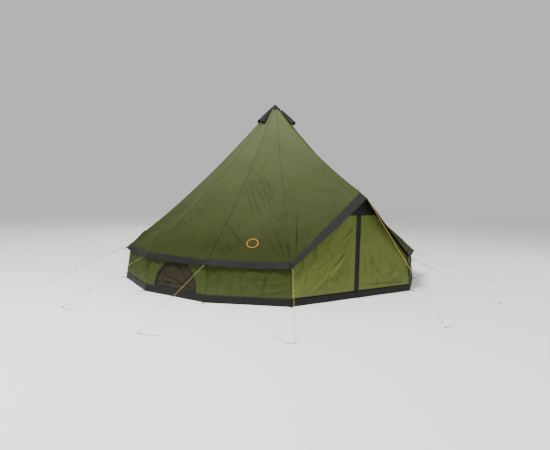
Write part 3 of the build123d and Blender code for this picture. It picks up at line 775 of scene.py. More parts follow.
# flat-felled seams over the ridges, with a row of stitches along each side
seam = {"half": 0.007, "thickness": 0.0022, "pitch": 0.011, "stitch": 0.007, "radius": 0.0007}
seams, seamStitches = [], []
for k in range(-6, 8):
    share = np.linspace(0.012, 0.999, 150)
    half = seam["half"] / goreWidth(share)
    middle = roofPoint(np.full(150, float(k)), share)
    if k < 7:
        across = unit(roofPoint(k + half, share) - roofPoint(k - half, share))
    else:
        across = alongside(k) + 0 * middle
    out = roofOut(np.full(150, float(k)))
    seams.append((middle + out * 0.0002, across, out, seam["half"], seam["thickness"]))
    for side in (-1, 1):
        seamStitches.append(middle + across * side * seam["half"] * 0.7 + out * (seam["thickness"] + 0.0002))
finish(tapePiece("ridgeSeams", seams, finishes["roof"]), "tent", "roof_cloth")
stitchPiece("ridgeStitches", seamStitches, "roof_cloth", seam["pitch"], seam["stitch"], seam["radius"])
print("roof made")


# Walls
wall = {"columns": 88, "rows": 40, "thickness": 0.0016, "folds": 10, "height": 0.022, "seed": 29}
window = {"foot": 0.108, "radius": 0.37, "trimLow": 0.353, "trimHigh": 0.387, "coverRadius": 0.385,
          "coverIn": 0.0095, "rings": 9}


def wallBase(k, z):
    k, z = np.broadcast_arrays(np.asarray(k, float), z)
    low = np.floor(k)
    part = (k - low)[..., None]
    r = plan["floorRadius"] + (plan["wallRadius"] - plan["floorRadius"]) * z / plan["wallTop"]
    return at(low, r, z) * (1 - part) + at(low + 1, r, z) * part


def wallRadiusAt(z):
    return plan["floorRadius"] - plan["wallLean"] * z / plan["wallTop"]


def panelWidth(z):
    return 2 * wallRadiusAt(z) * sin(stepAngle / 2)


def wallCreases():
    rng = np.random.default_rng(wall["seed"])
    found = []
    for k in range(1, 13):
        for _ in range(wall["folds"]):
            a = rng.uniform(0.06, 0.94)
            b = np.clip(a + rng.normal(0, 0.16), 0.04, 0.96)
            low, high = (0.02, 0.5) if rng.random() < 0.6 else (rng.uniform(0.1, 0.3), rng.uniform(0.4, 0.54))
            width = rng.uniform(0.01, 0.024)
            height = rng.choice([-0.8, 1.0]) * wall["height"] * rng.uniform(0.4, 1.1)
            found.append((wallBase(k + a, low), wallBase(k + b, high), width, height, rng.uniform(0.3, 0.8)))
    found.append((wallBase(12.5, 0.5), wallBase(12.9, 0.15), 0.014, 0.02, 0.4))
    found.append((wallBase(12.98, 0.22), wallBase(12.55, 0.12), 0.014, 0.018, 0.2))
    found.append((wallBase(12.98, 0.3), wallBase(12.4, 0.24), 0.014, 0.014, 0.2))
    for a, b in ((10.2, 10.05), (10.38, 10.2), (10.55, 10.36), (10.72, 10.55), (10.88, 10.72), (10.95, 10.9)):
        found.append((wallBase(a, 0.5), wallBase(b, 0.12), 0.014, 0.028, 0.5))
    for a, b in ((11.1, 11.06), (11.16, 11.2), (11.86, 11.9), (11.93, 11.84)):
        found.append((wallBase(a, 0.5), wallBase(b, 0.12), 0.016, 0.014, 0.5))
    return found


wallFolds = wallCreases()


def wallPoint(k, z, lift=0.0):
    base = wallBase(k, z)
    k = np.broadcast_to(k, base.shape[:-1])
    calm = np.clip(np.abs(k - np.round(k)) / 0.06, 0, 1) ** 0.7
    for place in windowPlaces:
        x, up = (k - place - 0.5) * 1.1, base[..., 2] - window["foot"]
        near = np.hypot(x, np.maximum(up, 0))
        arch = np.clip(np.abs(near - window["radius"]) / 0.05, 0.25, 1)
        calm = calm * np.where(np.abs(k - place - 0.5) < 0.5, arch, 1)
    height = (creaseField(base, wallFolds) + ripples(base, 0.22, 0.003, 8)) * calm
    return base + at(k, 1, 0) * (height + lift)[..., None]


def windowGrids(k):
    # The panel round the arch: rays from the arch to the panel's edges, then the strip below.
    half = lambda z: wallRadiusAt(z) * sin(stepAngle / 2)
    top, foot = plan["wallTop"] - window["foot"], window["foot"]
    corner = math.atan2(top, half(plan["wallTop"]))
    angles = np.concatenate([np.linspace(0, corner, 15), np.linspace(corner, pi - corner, 31)[1:],
                             np.linspace(pi - corner, pi, 15)[1:]])[::-1]
    reach = []
    for angle in angles:
        side = half(foot) / max(abs(cos(angle)), 1e-6)
        for _ in range(4):
            side = half(foot + side * sin(angle)) / max(abs(cos(angle)), 1e-6)
        reach.append(min(side, top / max(sin(angle), 1e-6)))
    share = np.linspace(0, 1, window["rings"])[:, None]
    r = window["radius"] * (1 - share) + np.array(reach) * share
    x, z = r * np.cos(angles), foot + r * np.sin(angles)
    upper = wallPoint(k + 0.5 + x / panelWidth(z), z), together(x, z)
    outer = np.linspace(window["radius"], half(foot), window["rings"])
    x = np.concatenate([-outer[::-1], np.linspace(-window["radius"], window["radius"], 31)[1:-1], outer])
    rows = np.linspace(0, foot, 6)[:, None]
    place = k + 0.5 + x / (2 * half(foot))
    lower = wallPoint(place, rows), together(x, rows)
    return [upper, lower]


patches = []
for k in range(1, 13):
    if k in windowPlaces:
        patches += windowGrids(k)
        continue
    places = np.linspace(k, k + 1, wall["columns"] + 1)
    places, rows = np.meshgrid(places, np.linspace(0, plan["wallTop"], wall["rows"]))
    patches.append((wallPoint(places, rows), together((places - k) * 1.1, rows)))
piece = finish(clothPiece("walls", patches, finishes["wall"], wall["thickness"]), "tent", "wall_cloth",
               "wall_panels", "window_panels")

# one thin upright seam at each corner of the wall
seams, seamStitches = [], []
for k in cornerPlaces:
    z = np.linspace(plan["hemHeight"], plan["wallTop"], 30)
    middle = at(k, wallRadiusAt(z) + 0.0005, z)
    across, out = alongside(k) + 0 * middle, at(k, 1, 0) + 0 * middle
    seams.append((middle, across, out, 0.006, 0.0018))
    seamStitches += [middle + across * side * 0.0042 + out * 0.002 for side in (-1, 1)]
finish(tapePiece("wallSeams", seams, finishes["wall"]), "tent", "wall_cloth")
stitchPiece("wallStitches", seamStitches, "wall_cloth", 0.009, 0.006)
print("walls made")


# Windows
def archPoint(k, x, z, lift):
    # A point on panel k, x along it from its middle, lifted out of the cloth.
    return wallPoint(k + 0.5 + x / panelWidth(z), z, lift)


def flatArch(k, x, z, lift):
    return wallBase(k + 0.5 + x / panelWidth(z), z) + at(k + 0.5, 1, 0) * np.asarray(lift)[..., None]


trims, trimStitches = [], []
angles = np.linspace(pi, 0, 97)
for k in windowPlaces:
    inner, outer = window["trimLow"], window["trimHigh"]
    share = np.linspace(0, 1, 6)[:, None]
    r = inner + (outer - inner) * share
    x, z = r * np.cos(angles), window["foot"] + r * np.sin(angles)
    puff = 0.003 + 0.0012 * np.sin(pi * share)
    trims.append((archPoint(k, x, z, puff), together(angles * window["radius"], r)))
    for r in (inner + 0.005, outer - 0.005):
        x, z = r * np.cos(angles), window["foot"] + r * np.sin(angles)
        trimStitches.append(archPoint(k, x, z, 0.0042))
    x, z = np.meshgrid(np.linspace(-outer, outer, 60), window["foot"] + np.linspace(-0.006, 0.017, 4))
    trims.append((archPoint(k, x, z, 0.0036), together(x, z)))
piece = clothPiece("windowTrims", trims, finishes["trim"], 0.0014)
finish(piece, "tent", "trim_cloth", "window_trims")
stitchPiece("windowStitches", trimStitches, "trim_cloth", 0.008, 0.0052)

patches = []
share = np.linspace(0, 1, 22)[:, None]
for k in windowPlaces:
    r = window["radius"] * share * 0.998
    x, z = r * np.cos(angles), window["foot"] + r * np.sin(angles)
    sag = -0.002 - 0.004 * (1 - share ** 2) * np.sin(angles)
    patches.append((flatArch(k, x, z, sag), together(x, z)))
piece = clothPiece("windowMeshes", patches, finishes["mesh"], 0)
finish(piece, "tent", "insect_mesh", "window_meshes")

for number, k in enumerate(windowPlaces, 1):
    r = window["coverRadius"] * share
    x, z = r * np.cos(angles), window["foot"] + r * np.sin(angles)
    rng = np.random.default_rng(40 + number)
    folds = []
    for _ in range(9):
        a, b = rng.uniform(0, pi, 2)
        folds.append((flatArch(k, window["radius"] * cos(a), window["foot"] + 0.36 * sin(a), 0.0),
                      flatArch(k, 0.3 * cos(b), window["foot"] + 0.1 * sin(b), 0.0),
                      rng.uniform(0.009, 0.018), 0.03, 0.4))
    base = flatArch(k, x, z, 0.0)
    depth = np.clip(creaseField(base, folds) + ripples(base, 0.2, 0.002, 50 + number) + 0.002, 0, 0.03)
    grid = flatArch(k, x, z, -window["coverIn"] - depth * (1 - share ** 6))
    piece = clothPiece(f"windowCover{number}", [(grid, together(x, z))], finishes["cover"], 0.0015)
    finish(piece, f"cover_{number}", "wall_cloth", f"window_cover_{number}")
print("windows made")


# Door
door = {
    "columns": 84, "rows": 88, "height": 0.018, "folds": 8, "seed": 5, "gap": 0.012, "hingeGap": 0.0007,
    "tapeHalf": 0.0104, "coverWidth": 0.04, "coverFoot": 0.002, "patchGap": 0.005, "calm": 0.05,
    "hingeCalm": 0.05,
}


def hingeX(z):
    return plan["doorHalf"] * (1 - z / plan["doorTop"])


def sideEdge(z):
    # The outer edge of the cloth beside the door, on the right: x and y at height z.
    r = wallRadiusAt(z)
    lowX, lowY = r * sin(stepAngle), -r * cos(stepAngle)
    topX, topY = plan["wallRadius"] * sin(stepAngle), -plan["wallRadius"] * cos(stepAngle)
    share = np.clip((z - plan["wallTop"]) / (plan["doorTop"] - plan["wallTop"]), 0, 1)
    upX, upY = topX * (1 - share), topY + (plan["doorY"] - topY) * share
    return np.where(z < plan["wallTop"], lowX, upX), np.where(z < plan["wallTop"], lowY, upY)


def doorCreases():
    rng = np.random.default_rng(door["seed"])
    found = []
    spot = lambda x, z: np.array([x, plan["doorY"], z])
    for side in (-1, 1):
        for i in range(door["folds"]):
            low = 0.08 + 0.9 * (i + rng.uniform(0.1, 0.9)) / door["folds"]
            high = low * rng.uniform(0.2, 0.55)
            foot, head = rng.uniform(0.05, 0.3), rng.uniform(0.7, 1.2) * (1 - 0.35 * low)
            width = rng.uniform(0.01, 0.022)
            height = rng.choice([-0.8, 1.0]) * door["height"] * rng.uniform(0.5, 1.1)
            found.append((spot(side * low, foot), spot(side * high, head), width, height,
                          rng.uniform(0.3, 0.6)))
        for _ in range(4):
            a, b = rng.uniform(0.1, 0.8), rng.uniform(0.1, 0.8)
            found.append((spot(side * a, 0.1), spot(side * b, rng.uniform(0.25, 0.5)), 0.02, 0.009, 0.3))
    for a, b, width, height in (
        ((-0.89, 0.63), (-0.88, 0.17), 0.025, 0.018), ((-0.7, 0.74), (-0.7, 0.4), 0.028, 0.02),
        ((-0.71, 0.42), (-0.52, 0.16), 0.028, 0.02), ((-0.62, 0.82), (-0.4, 0.5), 0.03, 0.022),
        ((-0.06, 0.98), (-0.3, 0.78), 0.025, 0.016), ((-0.1, 0.82), (-0.44, 0.48), 0.025, 0.018),
        ((-0.2, 0.62), (-0.5, 0.3), 0.03, 0.016), ((0.32, 0.95), (0.1, 0.76), 0.025, 0.018),
        ((0.36, 0.78), (0.42, 0.48), 0.025, 0.018), ((1.02, 0.4), (0.55, 0.16), 0.022, 0.022),
        ((0.95, 0.5), (0.5, 0.27), 0.022, 0.016), ((0.1, 0.17), (0.98, 0.15), 0.02, -0.018),
        ((0.66, 0.66), (0.7, 0.36), 0.025, 0.016), ((0.14, 0.6), (0.3, 0.3), 0.025, 0.014),
    ):
        found.append((spot(*a), spot(*b), 0.7 * width, 1.5 * height, 0.5))
    return found


doorFolds = doorCreases()


def doorPoint(x, z, y=0.0, lift=0.0):
    # A point of the door's cloth, pushed forward by its folds; y is how far behind the door's face.
    x, z, y = np.broadcast_arrays(x, z, y)
    base = together(x, plan["doorY"] + y, z)
    flat = together(x, plan["doorY"], z)
    calm = 1 - np.exp(-(x / door["calm"]) ** 2)
    calm = calm * np.clip((z - 0.1) / 0.05, 0.3, 1) * np.clip((plan["doorTop"] - z) / 0.3, 0.15, 1)
    calm = calm * np.clip((sideEdge(z)[0] - np.abs(x)) / 0.05, 0, 1)
    calm = calm * np.clip(np.abs(np.abs(x) - hingeX(z)) / door["hingeCalm"], 0.02, 1)
    height = (creaseField(flat, doorFolds) + ripples(flat, 0.25, 0.0035, 31)) * calm
    base[..., 1] -= height + lift
    return base


def mirrored(grid, side):
    # Columns have to run to the right, so the left half is turned round.
    return grid if side > 0 else grid[:, ::-1]


flapRows = np.linspace(plan["flapFoot"], plan["flapHead"], door["rows"])[:, None]
for side, word in ((-1, "left"), (1, "right")):
    share = np.linspace(0, 1, door["columns"])
    x = side * (door["gap"] + (hingeX(flapRows) - door["hingeGap"] - door["gap"]) * share)
    z = flapRows + 0 * x
    grid, uv = mirrored(doorPoint(x, z), side), mirrored(together(x, z), side)
    body = f"flap_{word}"
    piece = clothPiece(f"doorFlap{word.title()}", [(grid, uv)], finishes["door"], 0.0016)
    finish(piece, body, "wall_cloth", f"door_flap_{word}")

    line = np.linspace(plan["flapFoot"], plan["flapHead"], 60)
    coverLine = np.linspace(plan["flapFoot"] + door["coverFoot"], plan["flapHead"], 60)
    tapeMiddle = together(side * (0.0007 + door["tapeHalf"]), plan["doorY"] + 0.003, line)
    right, front = np.tile([1.0, 0, 0], (60, 1)), np.tile([0, -1.0, 0], (60, 1))
    tape = tapePiece(f"zipTape{word.title()}", [(tapeMiddle, right, -front, door["tapeHalf"], 0.0012)],
                     finishes["zipTape"])
    finish(tape, body, "zip_plastic", f"zip_tape_{word}")
    teethUp = np.linspace(0.131, plan["flapHead"], 60)
    teeth = together(side * 0.0019, plan["doorY"] + 0.0016, teethUp)
    finish(rowPiece(f"zipCoil{word.title()}", [teeth], finishes["zip"], 0.0026, 0.0013, 0.0013, 6), body,
           "zip_plastic")
    share = np.linspace(0.0, 1, 9)
    x = side * (0.0006 + (door["coverWidth"] - 0.0006) * share)
    z = coverLine[:, None] + 0 * x
    puff = 0.0018 + 0.0012 * np.sin(pi * share) + 0 * z
    grid = mirrored(doorPoint(x + 0 * z, z, 0.0, puff), side)
    uv = mirrored(together(x, z), side)
    zipCover = clothPiece(f"zipCover{word.title()}", [(grid, uv)], finishes["trim"], 0.0012)
    finish(zipCover, body, "trim_cloth", f"zip_cover_{word}")
    rows = [doorPoint(side * (door["coverWidth"] - inset) + 0 * coverLine, coverLine, 0.0, 0.0032)
            for inset in (0.004, 0.01)]
    stitchPiece(f"flapStitches{word.title()}", rows, "trim_cloth", 0.008, 0.0052, body=body)

patches = []
for side in (-1, 1):
    share = np.linspace(0, 1, 40)
    z = flapRows + 0 * share
    edgeX, edgeY = sideEdge(flapRows)
    inner = hingeX(flapRows) + door["hingeGap"]
    x = side * (inner + (edgeX - inner) * share)
    y = (edgeY - plan["doorY"]) * share
    patches.append((mirrored(doorPoint(x, z, y), side), mirrored(together(x, z), side)))
piece = finish(clothPiece("doorSides", patches, finishes["door"], 0.0016), "tent", "wall_cloth",
               "door_side_panels")

z = np.linspace(plan["flapHead"] + door["patchGap"], plan["doorTop"], 26)[:, None]
edgeX, edgeY = sideEdge(z)
share = np.linspace(-1, 1, 41)
x = edgeX * share
behind = np.clip((np.abs(x) - hingeX(z)) / np.maximum(edgeX - hingeX(z), 1e-4), 0, 1)
behind = behind * (edgeY - plan["doorY"])
piece = clothPiece("peakPatch", [(doorPoint(x, z + 0 * x, behind, 0.0005), together(x, z))],
                   finishes["trim"], 0.0016)
finish(piece, "tent", "trim_cloth", "door_peak_patch")
print("door made")


# Hem round the foot
hem = {"rows": 6, "columns": 40, "lift": 0.003, "inset": 0.006}
patches, hemStitches = [], []
z = np.linspace(0.0, plan["hemHeight"], hem["rows"])[:, None]
for k in range(1, 13):
    places = np.linspace(k, k + 1, hem["columns"] + 1)
    puff = hem["lift"] + 0.0008 * np.sin(pi * z / plan["hemHeight"])
    uv = together((places - k) * 1.11, z)
    patches.append((wallPoint(places, z, puff), uv))
    for low in (plan["hemHeight"] - hem["inset"], plan["hemHeight"] - 2.2 * hem["inset"]):
        hemStitches.append(wallPoint(places, low, hem["lift"] + 0.0008))
share = np.linspace(-1, 1, 2 * hem["columns"] + 1)
footX, footY = sideEdge(z)
x = footX * share
sagging = 0.004 * np.sin(9 * x) * np.clip(1 - np.abs(share), 0, 1)
y = footY - (hem["lift"] + sagging)
patches.append((together(x, y, z), together(x, z)))
for low in (plan["hemHeight"] - hem["inset"], plan["hemHeight"] - 2.2 * hem["inset"]):
    hemStitches.append(together(x[-1], y[-1] - 0.0006, low))
piece = clothPiece("hem", patches, finishes["trim"], 0.0016)
finish(piece, "tent", "trim_cloth", "hem_band", "door_sill")
stitchPiece("hemStitches", hemStitches, "trim_cloth", 0.009, 0.0058)


# Valance over the wall, and awning over the door
valance = {"rows": 8, "columns": 30, "droop": 0.03, "binding": 0.0065}


def valancePoint(k, share, lift=0.0):
    # share goes from 0 at the eave to 1 at the valance's lower edge.
    k, share = np.broadcast_arrays(np.asarray(k, float), share)
    low = np.clip(np.floor(k), 1, 12)
    part = (k - low)[..., None]
    r = plan["eaveRadius"] + plan["valanceOut"] * share
    z = plan["eaveHeight"] + 0.001 - plan["valanceDrop"] * share
    base = at(low, r, z) * (1 - part) + at(low + 1, r, z) * part
    hang = 4 * part[..., 0] * (1 - part[..., 0])
    flutter = np.sin(k * 23.0) * 0.004 + np.sin(k * 41.0 + 1) * 0.0025
    base[..., 2] -= valance["droop"] * hang * share ** 1.3 - lift * 0.7
    inward = -0.03 * hang * share + flutter * share * np.clip(hang * 3, 0, 1) + lift * 0.7
    return base + at(k, 1, 0) * inward[..., None]


patches, rows, bindings = [], [], []
share = np.linspace(1, 0, valance["rows"])[:, None]
for k in range(1, 13):
    places = np.linspace(k, k + 1 - 1e-9, valance["columns"] + 1)
    grid = valancePoint(places, share)
    patches.append((grid, together((places - k) * 1.1, (1 - share) * 0.092)))
    rows += [valancePoint(places, s, 0.0008) for s in (0.03, 0.12)]
    middle = valancePoint(places, 0.965)
    across = unit(valancePoint(places, 1.0) - valancePoint(places, 0.93))
    out = unit(np.cross(np.gradient(middle, axis=0), -across))
    bindings.append((middle - out * 0.0011, across, out, valance["binding"], 0.0024))
piece = finish(clothPiece("valance", patches, finishes["trim"], 0.0014), "tent", "trim_cloth", "eave_valance")

awning = {"rows": 10, "columns": 90, "belly": 0.012}


def awningPoint(side, along, share, lift=0.0):
    # along goes from the corner, 0, up to the point, 1; share from the roof's edge, 0, outwards.
    along, share = np.broadcast_arrays(along, share)
    cornerIn = at(side, plan["eaveRadius"], plan["eaveHeight"])
    cornerOut = at(side, plan["eaveRadius"] + plan["valanceOut"], plan["eaveHeight"] - plan["valanceDrop"])
    peak = ridgeLine(0, 1.0)
    a, s = along[..., None], share[..., None]
    point = (cornerIn * (1 - s) + cornerOut * s) * (1 - a) + (peak * (1 - s) + awningTip * s) * a
    hang = np.sin(pi * along) * share
    point[..., 2] += 0.001 - awning["belly"] * hang + 0.003 * np.sin(along * 19) * hang + lift
    point[..., 1] += 0.004 * np.sin(along * 27 + 1) * hang
    return point


patches = []
for side in (-1, 1):
    along = np.linspace(0, 1, awning["columns"])
    share = np.linspace(1, 0, awning["rows"])[:, None]
    grid = awningPoint(side, along, share)
    uv = together(along * 1.45, (1 - share) * 0.12)
    patches.append((grid[:, ::-1], uv[:, ::-1]) if side > 0 else (grid, uv))
    rows += [awningPoint(side, along, s, 0.001) for s in (0.04, 0.14)]
    middle = awningPoint(side, along, 0.97)
    across = unit(awningPoint(side, along, 1.0) - awningPoint(side, along, 0.9))
    out = unit(np.cross(np.gradient(middle, axis=0), across)) * (-side)
    bindings.append((middle - out * 0.0011, across, out, valance["binding"], 0.0024))
piece = finish(clothPiece("awning", patches, finishes["trim"], 0.0016), "tent", "trim_cloth", "door_awning")
finish(tapePiece("edgeBindings", bindings, finishes["trim"]), "tent", "trim_cloth")
stitchPiece("valanceStitches", rows, "trim_cloth", 0.009, 0.0058, thread="paleThread")
print("valance and awning made")


# Groundsheet
ground = {"rings": 40, "perStep": 12, "top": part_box("groundsheet")[1].z, "inset": 0.004}
share = np.linspace(1, 0.0005, ground["rings"])[:, None]
places = np.concatenate([np.linspace(k, k + 1, ground["perStep"] + 1)[:-1] for k in range(-7, 7)] + [[7.0]])
low = np.clip(np.floor(places), -7, 6)
part = (places - low)[:, None]
r = plan["floorRadius"] - ground["inset"]
rim = at(low, r, 0) * (1 - part) + at(low + 1, r, 0) * part
byDoor = (places > -1) & (places < 1)
rim[byDoor] = at(-1, r, 0) + (at(1, r, 0) - at(-1, r, 0)) * ((places[byDoor] + 1) / 2)[:, None]
grid = rim[None] * share[..., None]
grid[..., 2] = ground["top"] - 0.0012 - ripples(grid, 0.4, 0.0006, 70)
piece = clothPiece("groundsheetCloth", [(grid, grid[..., :2].copy())], finishes["ground"], 0.0006)
finish(piece, "tent", "ground_cloth", "groundsheet")


# Cap and vents
cap = {"segments": 84, "rows": 18, "puckers": 14}
turns = np.linspace(0, 2 * pi, cap["segments"] + 1)
share = np.linspace(1, 0, cap["rows"])[:, None]
profile = np.array([(0.0001, 3.0), (0.008, 2.999), (0.016, 2.994), (0.05, 2.9605), (0.098, 2.918),
                    (0.0985, 2.908)])
spots = np.linspace(0, 1, len(profile))
r = np.interp(share, spots, profile[:, 0]) * (1 + 0.03 * share ** 2 * np.cos(cap["puckers"] * turns))
z = np.interp(share, spots, profile[:, 1]) + 0.002 * share * np.cos(cap["puckers"] * turns)
grid = together(r * np.cos(turns), r * np.sin(turns), z)
uv = together(turns * 0.1, share * 0.13)
piece = clothPiece("capCloth", [(grid, uv)], finishes["trim"], 0.002, merge=3e-4)
finish(piece, "tent", "trim_cloth", "apex_cap")
rim = together(0.1 * np.cos(turns) * 0.955, 0.1 * np.sin(turns) * 0.955, 2.9225)
capRows = [rim, rim * [0.9, 0.9, 1] + [0, 0, 0.0082]]

hood = {"places": [-3.0, -3 + 14 / 3, -3 + 28 / 3], "start": 0.107, "length": 0.33, "top": 0.026,
        "mouth": 0.076, "lift": 0.004, "meshInset": 0.012, "columns": 34, "rows": 26,
        "slopeEnd": (0.7076, 2.1758)}
hoods, screens, rims, hoodRows = [], [], [], []
for number, place in enumerate(hood["places"]):
    r0, z0 = plan["crownRadius"], plan["crownHeight"]
    r1, z1 = hood["slopeEnd"]
    length = math.hypot(r1 - r0, z0 - z1)
    down = at(place, (r1 - r0) / length, (z1 - z0) / length)
    normal = at(place, (z0 - z1) / length, (r1 - r0) / length)
    across = np.cross(normal, down)
    start = at(place, r0, z0) + down * (hood["start"] - r0) * length / (r1 - r0) + normal * hood["lift"]
    turn = np.linspace(0, pi, hood["columns"])
    share = np.linspace(1, 0, hood["rows"])[:, None]
    puckers = 1 + 0.035 * np.sin(turn * 7 + number) * np.sin(pi * share)
    puckers = puckers + 0.03 * np.sin(share * 15 + turn * 3)
    radius = (hood["top"] + (hood["mouth"] - hood["top"]) * share) * puckers
    radius = np.minimum(radius, (hood["top"] + (hood["mouth"] - hood["top"]) * share) * 1.01)
    point = lambda radius, along: (start + down * (along * hood["length"])[..., None]
                                   + across * (radius * np.cos(turn))[..., None]
                                   + normal * (radius * np.sin(turn))[..., None])
    grid = point(radius, share + 0 * turn)
    hoods.append((grid, together(turn * 0.07, share * 0.33)))
    inner = np.linspace(0.02, 1, 10)[:, None] * (radius[1] - 0.004)
    screen = point(inner, 0 * inner + 1 - hood["meshInset"] / hood["length"])
    screens.append((screen[::-1], together(inner * np.cos(turn), inner * np.sin(turn))))
    edge = point(radius[0] - 0.001, 0 * turn + 0.985)
    out = unit(np.cos(turn)[:, None] * across + np.sin(turn)[:, None] * normal)
    rims.append((edge, np.tile(down, (len(turn), 1)), out, 0.006, 0.002))
    hoodRows.append(point(radius[1] + 0.0006, 0 * turn + 0.94))
piece = finish(clothPiece("ventHoods", hoods, finishes["trim"], 0.002), "tent", "trim_cloth", "vent_hoods")
finish(clothPiece("ventMeshes", screens, finishes["mesh"], 0.0008), "tent", "insect_mesh", "vent_meshes")
finish(tapePiece("ventRims", rims, finishes["trim"]), "tent", "trim_cloth")
stitchPiece("capStitches", capRows + hoodRows, "trim_cloth", 0.008, 0.005)
print("cap and vents made")


# Webbing tabs, peg loops and door ties
tab = {"half": 0.0125, "thickness": 0.0017}
tabs, tabRows = [], []
for k in cornerPlaces:
    side = alongside(k)
    r = plan["eaveRadius"] + plan["valanceOut"]
    z = plan["eaveHeight"] - plan["valanceDrop"]
    high = at(k, r - 0.03, z + 0.03 * plan["valanceDrop"] / plan["valanceOut"] - 0.007)
    low = ringCentre(k) + at(k, -0.0125, 0)
    along = unit(low - high)
    up = np.cross(along, side)
    up = up if up[2] > 0 else -up
    turn = np.linspace(-pi / 2, pi / 2, 9)[:, None]
    bend = low + along * 0.0028 * np.cos(turn) - up * 0.0028 * np.sin(turn)
    line = np.concatenate([high[None] + up * 0.0028, low[None] - along * 0.015 + up * 0.0028, bend,
                           low[None] - along * 0.015 - up * 0.0028])
    steps = unit(np.gradient(line, axis=0))
    across = side + 0 * line
    tabs.append((line, across, unit(np.cross(across, steps)), tab["half"], tab["thickness"]))
    mid = high + (low - high) * 0.55 + up * 0.0054
    tabRows += [np.array([mid - side * 0.009, mid + side * 0.009]),
                np.array([high + up * 0.0054 + side * 0.009, mid + side * 0.009]),
                np.array([high + up * 0.0054 - side * 0.009, mid - side * 0.009])]
finish(tapePiece("ringTabs", tabs, finishes["webbing"]), "tent", "webbing", "guy_tabs")
stitchPiece("tabStitches", tabRows, "webbing", 0.004, 0.0028, 0.0004)

loops = []
loop = {"length": 0.056, "width": 0.022, "band": 0.005, "foot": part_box("peg_loops")[0].z}
for k, r in [(k, plan["floorRadius"]) for k in cornerPlaces] + [(0, -plan["doorY"])]:
    out, side = at(k, 1, 0), alongside(k)
    half = (loop["width"] - loop["band"]) / 2
    straight = loop["length"] / 2 - loop["width"] / 2
    turn = np.linspace(-pi / 2, pi / 2, 12)
    xs = np.concatenate([straight + half * np.cos(turn), -straight - half * np.cos(turn)])
    ys = np.concatenate([half * np.sin(turn), half * np.sin(turn)[::-1]])
    xs, ys = np.append(xs, xs[0]), np.append(ys, ys[0])
    middle = at(k, r + loop["length"] / 2, loop["foot"]) + xs[:, None] * out + ys[:, None] * side
    steps = unit(np.roll(middle[:-1], -1, 0) - np.roll(middle[:-1], 1, 0))
    steps = np.append(steps, steps[:1], 0)
    across = unit(np.cross(steps, [0, 0, 1.0]))
    loops.append((middle, across, np.tile([0, 0, 1.0], (len(middle), 1)), loop["band"] / 2, 0.002))
finish(tapePiece("pegLoops", loops[:-1], finishes["webbing"]), "tent", "webbing", "peg_loops")
finish(tapePiece("doorPegLoop", loops[-1:], finishes["paleWebbing"]), "tent", "webbing", "peg_loops")

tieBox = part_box("door_ties")
tie = {"x": tieBox[1].x - 0.015, "low": tieBox[0].z + 0.005, "high": tieBox[1].z,
       "toggle": 0.015, "toggleRadius": 0.0048}
ties, toggles = [], []
for side in (-1, 1):
    z = np.linspace(tie["high"], tie["low"] + 0.006, 14)
    edgeX, edgeY = sideEdge(z)
    for offset in (-0.003, 0.003):
        x = side * tie["x"] + offset * np.sin(pi * np.clip((tie["high"] - z) / 0.19, 0, 1)) + 0 * z
        share = (np.abs(x) - hingeX(z)) / (edgeX - hingeX(z))
        y = plan["doorY"] + (edgeY - plan["doorY"]) * share - 0.011
        middle = together(x, y, z)
        tieAcross, tieOut = np.tile([0.7, 0.7, 0.0], (14, 1)), np.tile([0.7, -0.7, 0.0], (14, 1))
        ties.append((middle, tieAcross, tieOut, 0.0016, 0.0014))
    along = np.linspace(-1, 1, 17)[:, None]
    turn = np.linspace(0, 2 * pi, 19)
    r = tie["toggleRadius"] * np.sqrt(np.clip(1.02 - np.abs(along) ** 5, 0, 1))
    r = r * (1 - 0.18 * np.exp(-(along / 0.13) ** 2))
    low = middle[-1]
    grid = together(side * tie["x"] + tie["toggle"] * along, low[1] + r * np.cos(turn),
                     tie["low"] + r * np.sin(turn))
    toggles.append((grid, together(along * 0.015, turn * 0.005)))
finish(tapePiece("doorTieLoops", ties, finishes["webbing"]), "tent", "webbing", "door_ties")
piece = clothPiece("doorToggles", toggles, finishes["wood"], 0)
fillHoles(piece)
finish(piece, "tent", "toggle_wood", "door_ties")


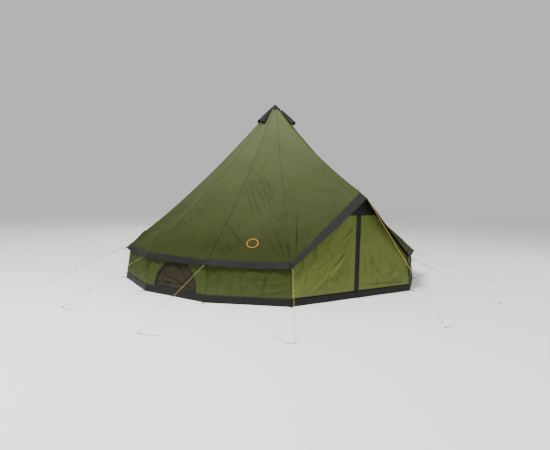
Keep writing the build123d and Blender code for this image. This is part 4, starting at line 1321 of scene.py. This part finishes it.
# Plain sewn ring on the roof
emblem = {"k": -1.5, "share": 0.904, "radius": 0.0765, "half": 0.0055, "thickness": 0.0016}
centre = roofBase(emblem["k"], emblem["share"])
along = unit(roofBase(-1.1, emblem["share"]) - roofBase(-1.9, emblem["share"]))
upward = unit(roofBase(emblem["k"], emblem["share"] - 0.05) - roofBase(emblem["k"], emblem["share"] + 0.05))
out = np.cross(along, upward)
turn = np.linspace(0, 2 * pi, 97)
spokes = along * np.cos(turn)[:, None] + upward * np.sin(turn)[:, None]
flatRing = centre + spokes * emblem["radius"]
middle = []
for place in flatRing:
    offsets = place - centre
    k = emblem["k"] + (offsets @ along) / goreWidth(emblem["share"])
    share = emblem["share"] - (offsets @ upward) / roof["slope"]
    middle.append(roofPoint(k, share) + out * 0.0006)
middle = np.array(middle)
finish(tapePiece("sewnRing", [(middle, spokes, np.tile(out, (97, 1)), emblem["half"], emblem["thickness"])],
                 finishes["ringThread"]), "tent", "ring_thread", "sewn_ring")
print("small pieces made")


# Finishes of the CAD pieces that stay
kept = {
    "pole": ["pole_bottom", "pole_middle", "pole_top", "door_legs_lower", "door_legs_upper"],
    "plastic": ["pole_foot", "pole_head", "door_leg_feet"],
    "ring": ["guy_rings", "door_peak_joint"],
    "peg": ["hem_pegs", "guy_pegs"],
    "runner": ["guy_runners"],
    "zip": ["zip_slider"],
}
for finishName, names in kept.items():
    for name in names:
        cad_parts[name].data.materials.clear()
        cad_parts[name].data.materials.append(finishes[finishName])


# Floor and light
room = {"floor": 60.0, "key": 2000.0, "fill": 350.0, "back": 250.0, "sky": 0.62}
bpy.ops.mesh.primitive_plane_add(size=room["floor"], location=(0, 0, -0.001))
floor = bpy.context.object
floor.name = "floor"
floorMaterial = bpy.data.materials.new("floorPaper")
floorMaterial.use_nodes = True
floorMaterial.node_tree.nodes["Principled BSDF"].inputs["Base Color"].default_value = (0.93, 0.93, 0.92, 1)
floorMaterial.node_tree.nodes["Principled BSDF"].inputs["Roughness"].default_value = 0.9
floor.data.materials.append(floorMaterial)
for name, place, size in (("key", (-7, -4, 9), 3.0), ("fill", (8, -7, 5), 5.0), ("back", (2, 9, 7), 6.0)):
    light = bpy.data.lights.new(name, "AREA")
    light.energy = room[name]
    light.size = size
    lamp = bpy.data.objects.new(name, light)
    lamp.location = place
    lamp.rotation_euler = (Vector((0, 0, 1.2)) - Vector(place)).to_track_quat("-Z", "Y").to_euler()
    bpy.context.scene.collection.objects.link(lamp)
world = bpy.data.worlds.new("sky")
world.use_nodes = True
world.node_tree.nodes["Background"].inputs[0].default_value = (1, 1, 1, 1)
world.node_tree.nodes["Background"].inputs[1].default_value = room["sky"]
bpy.context.scene.world = world
print("floor and lights set")
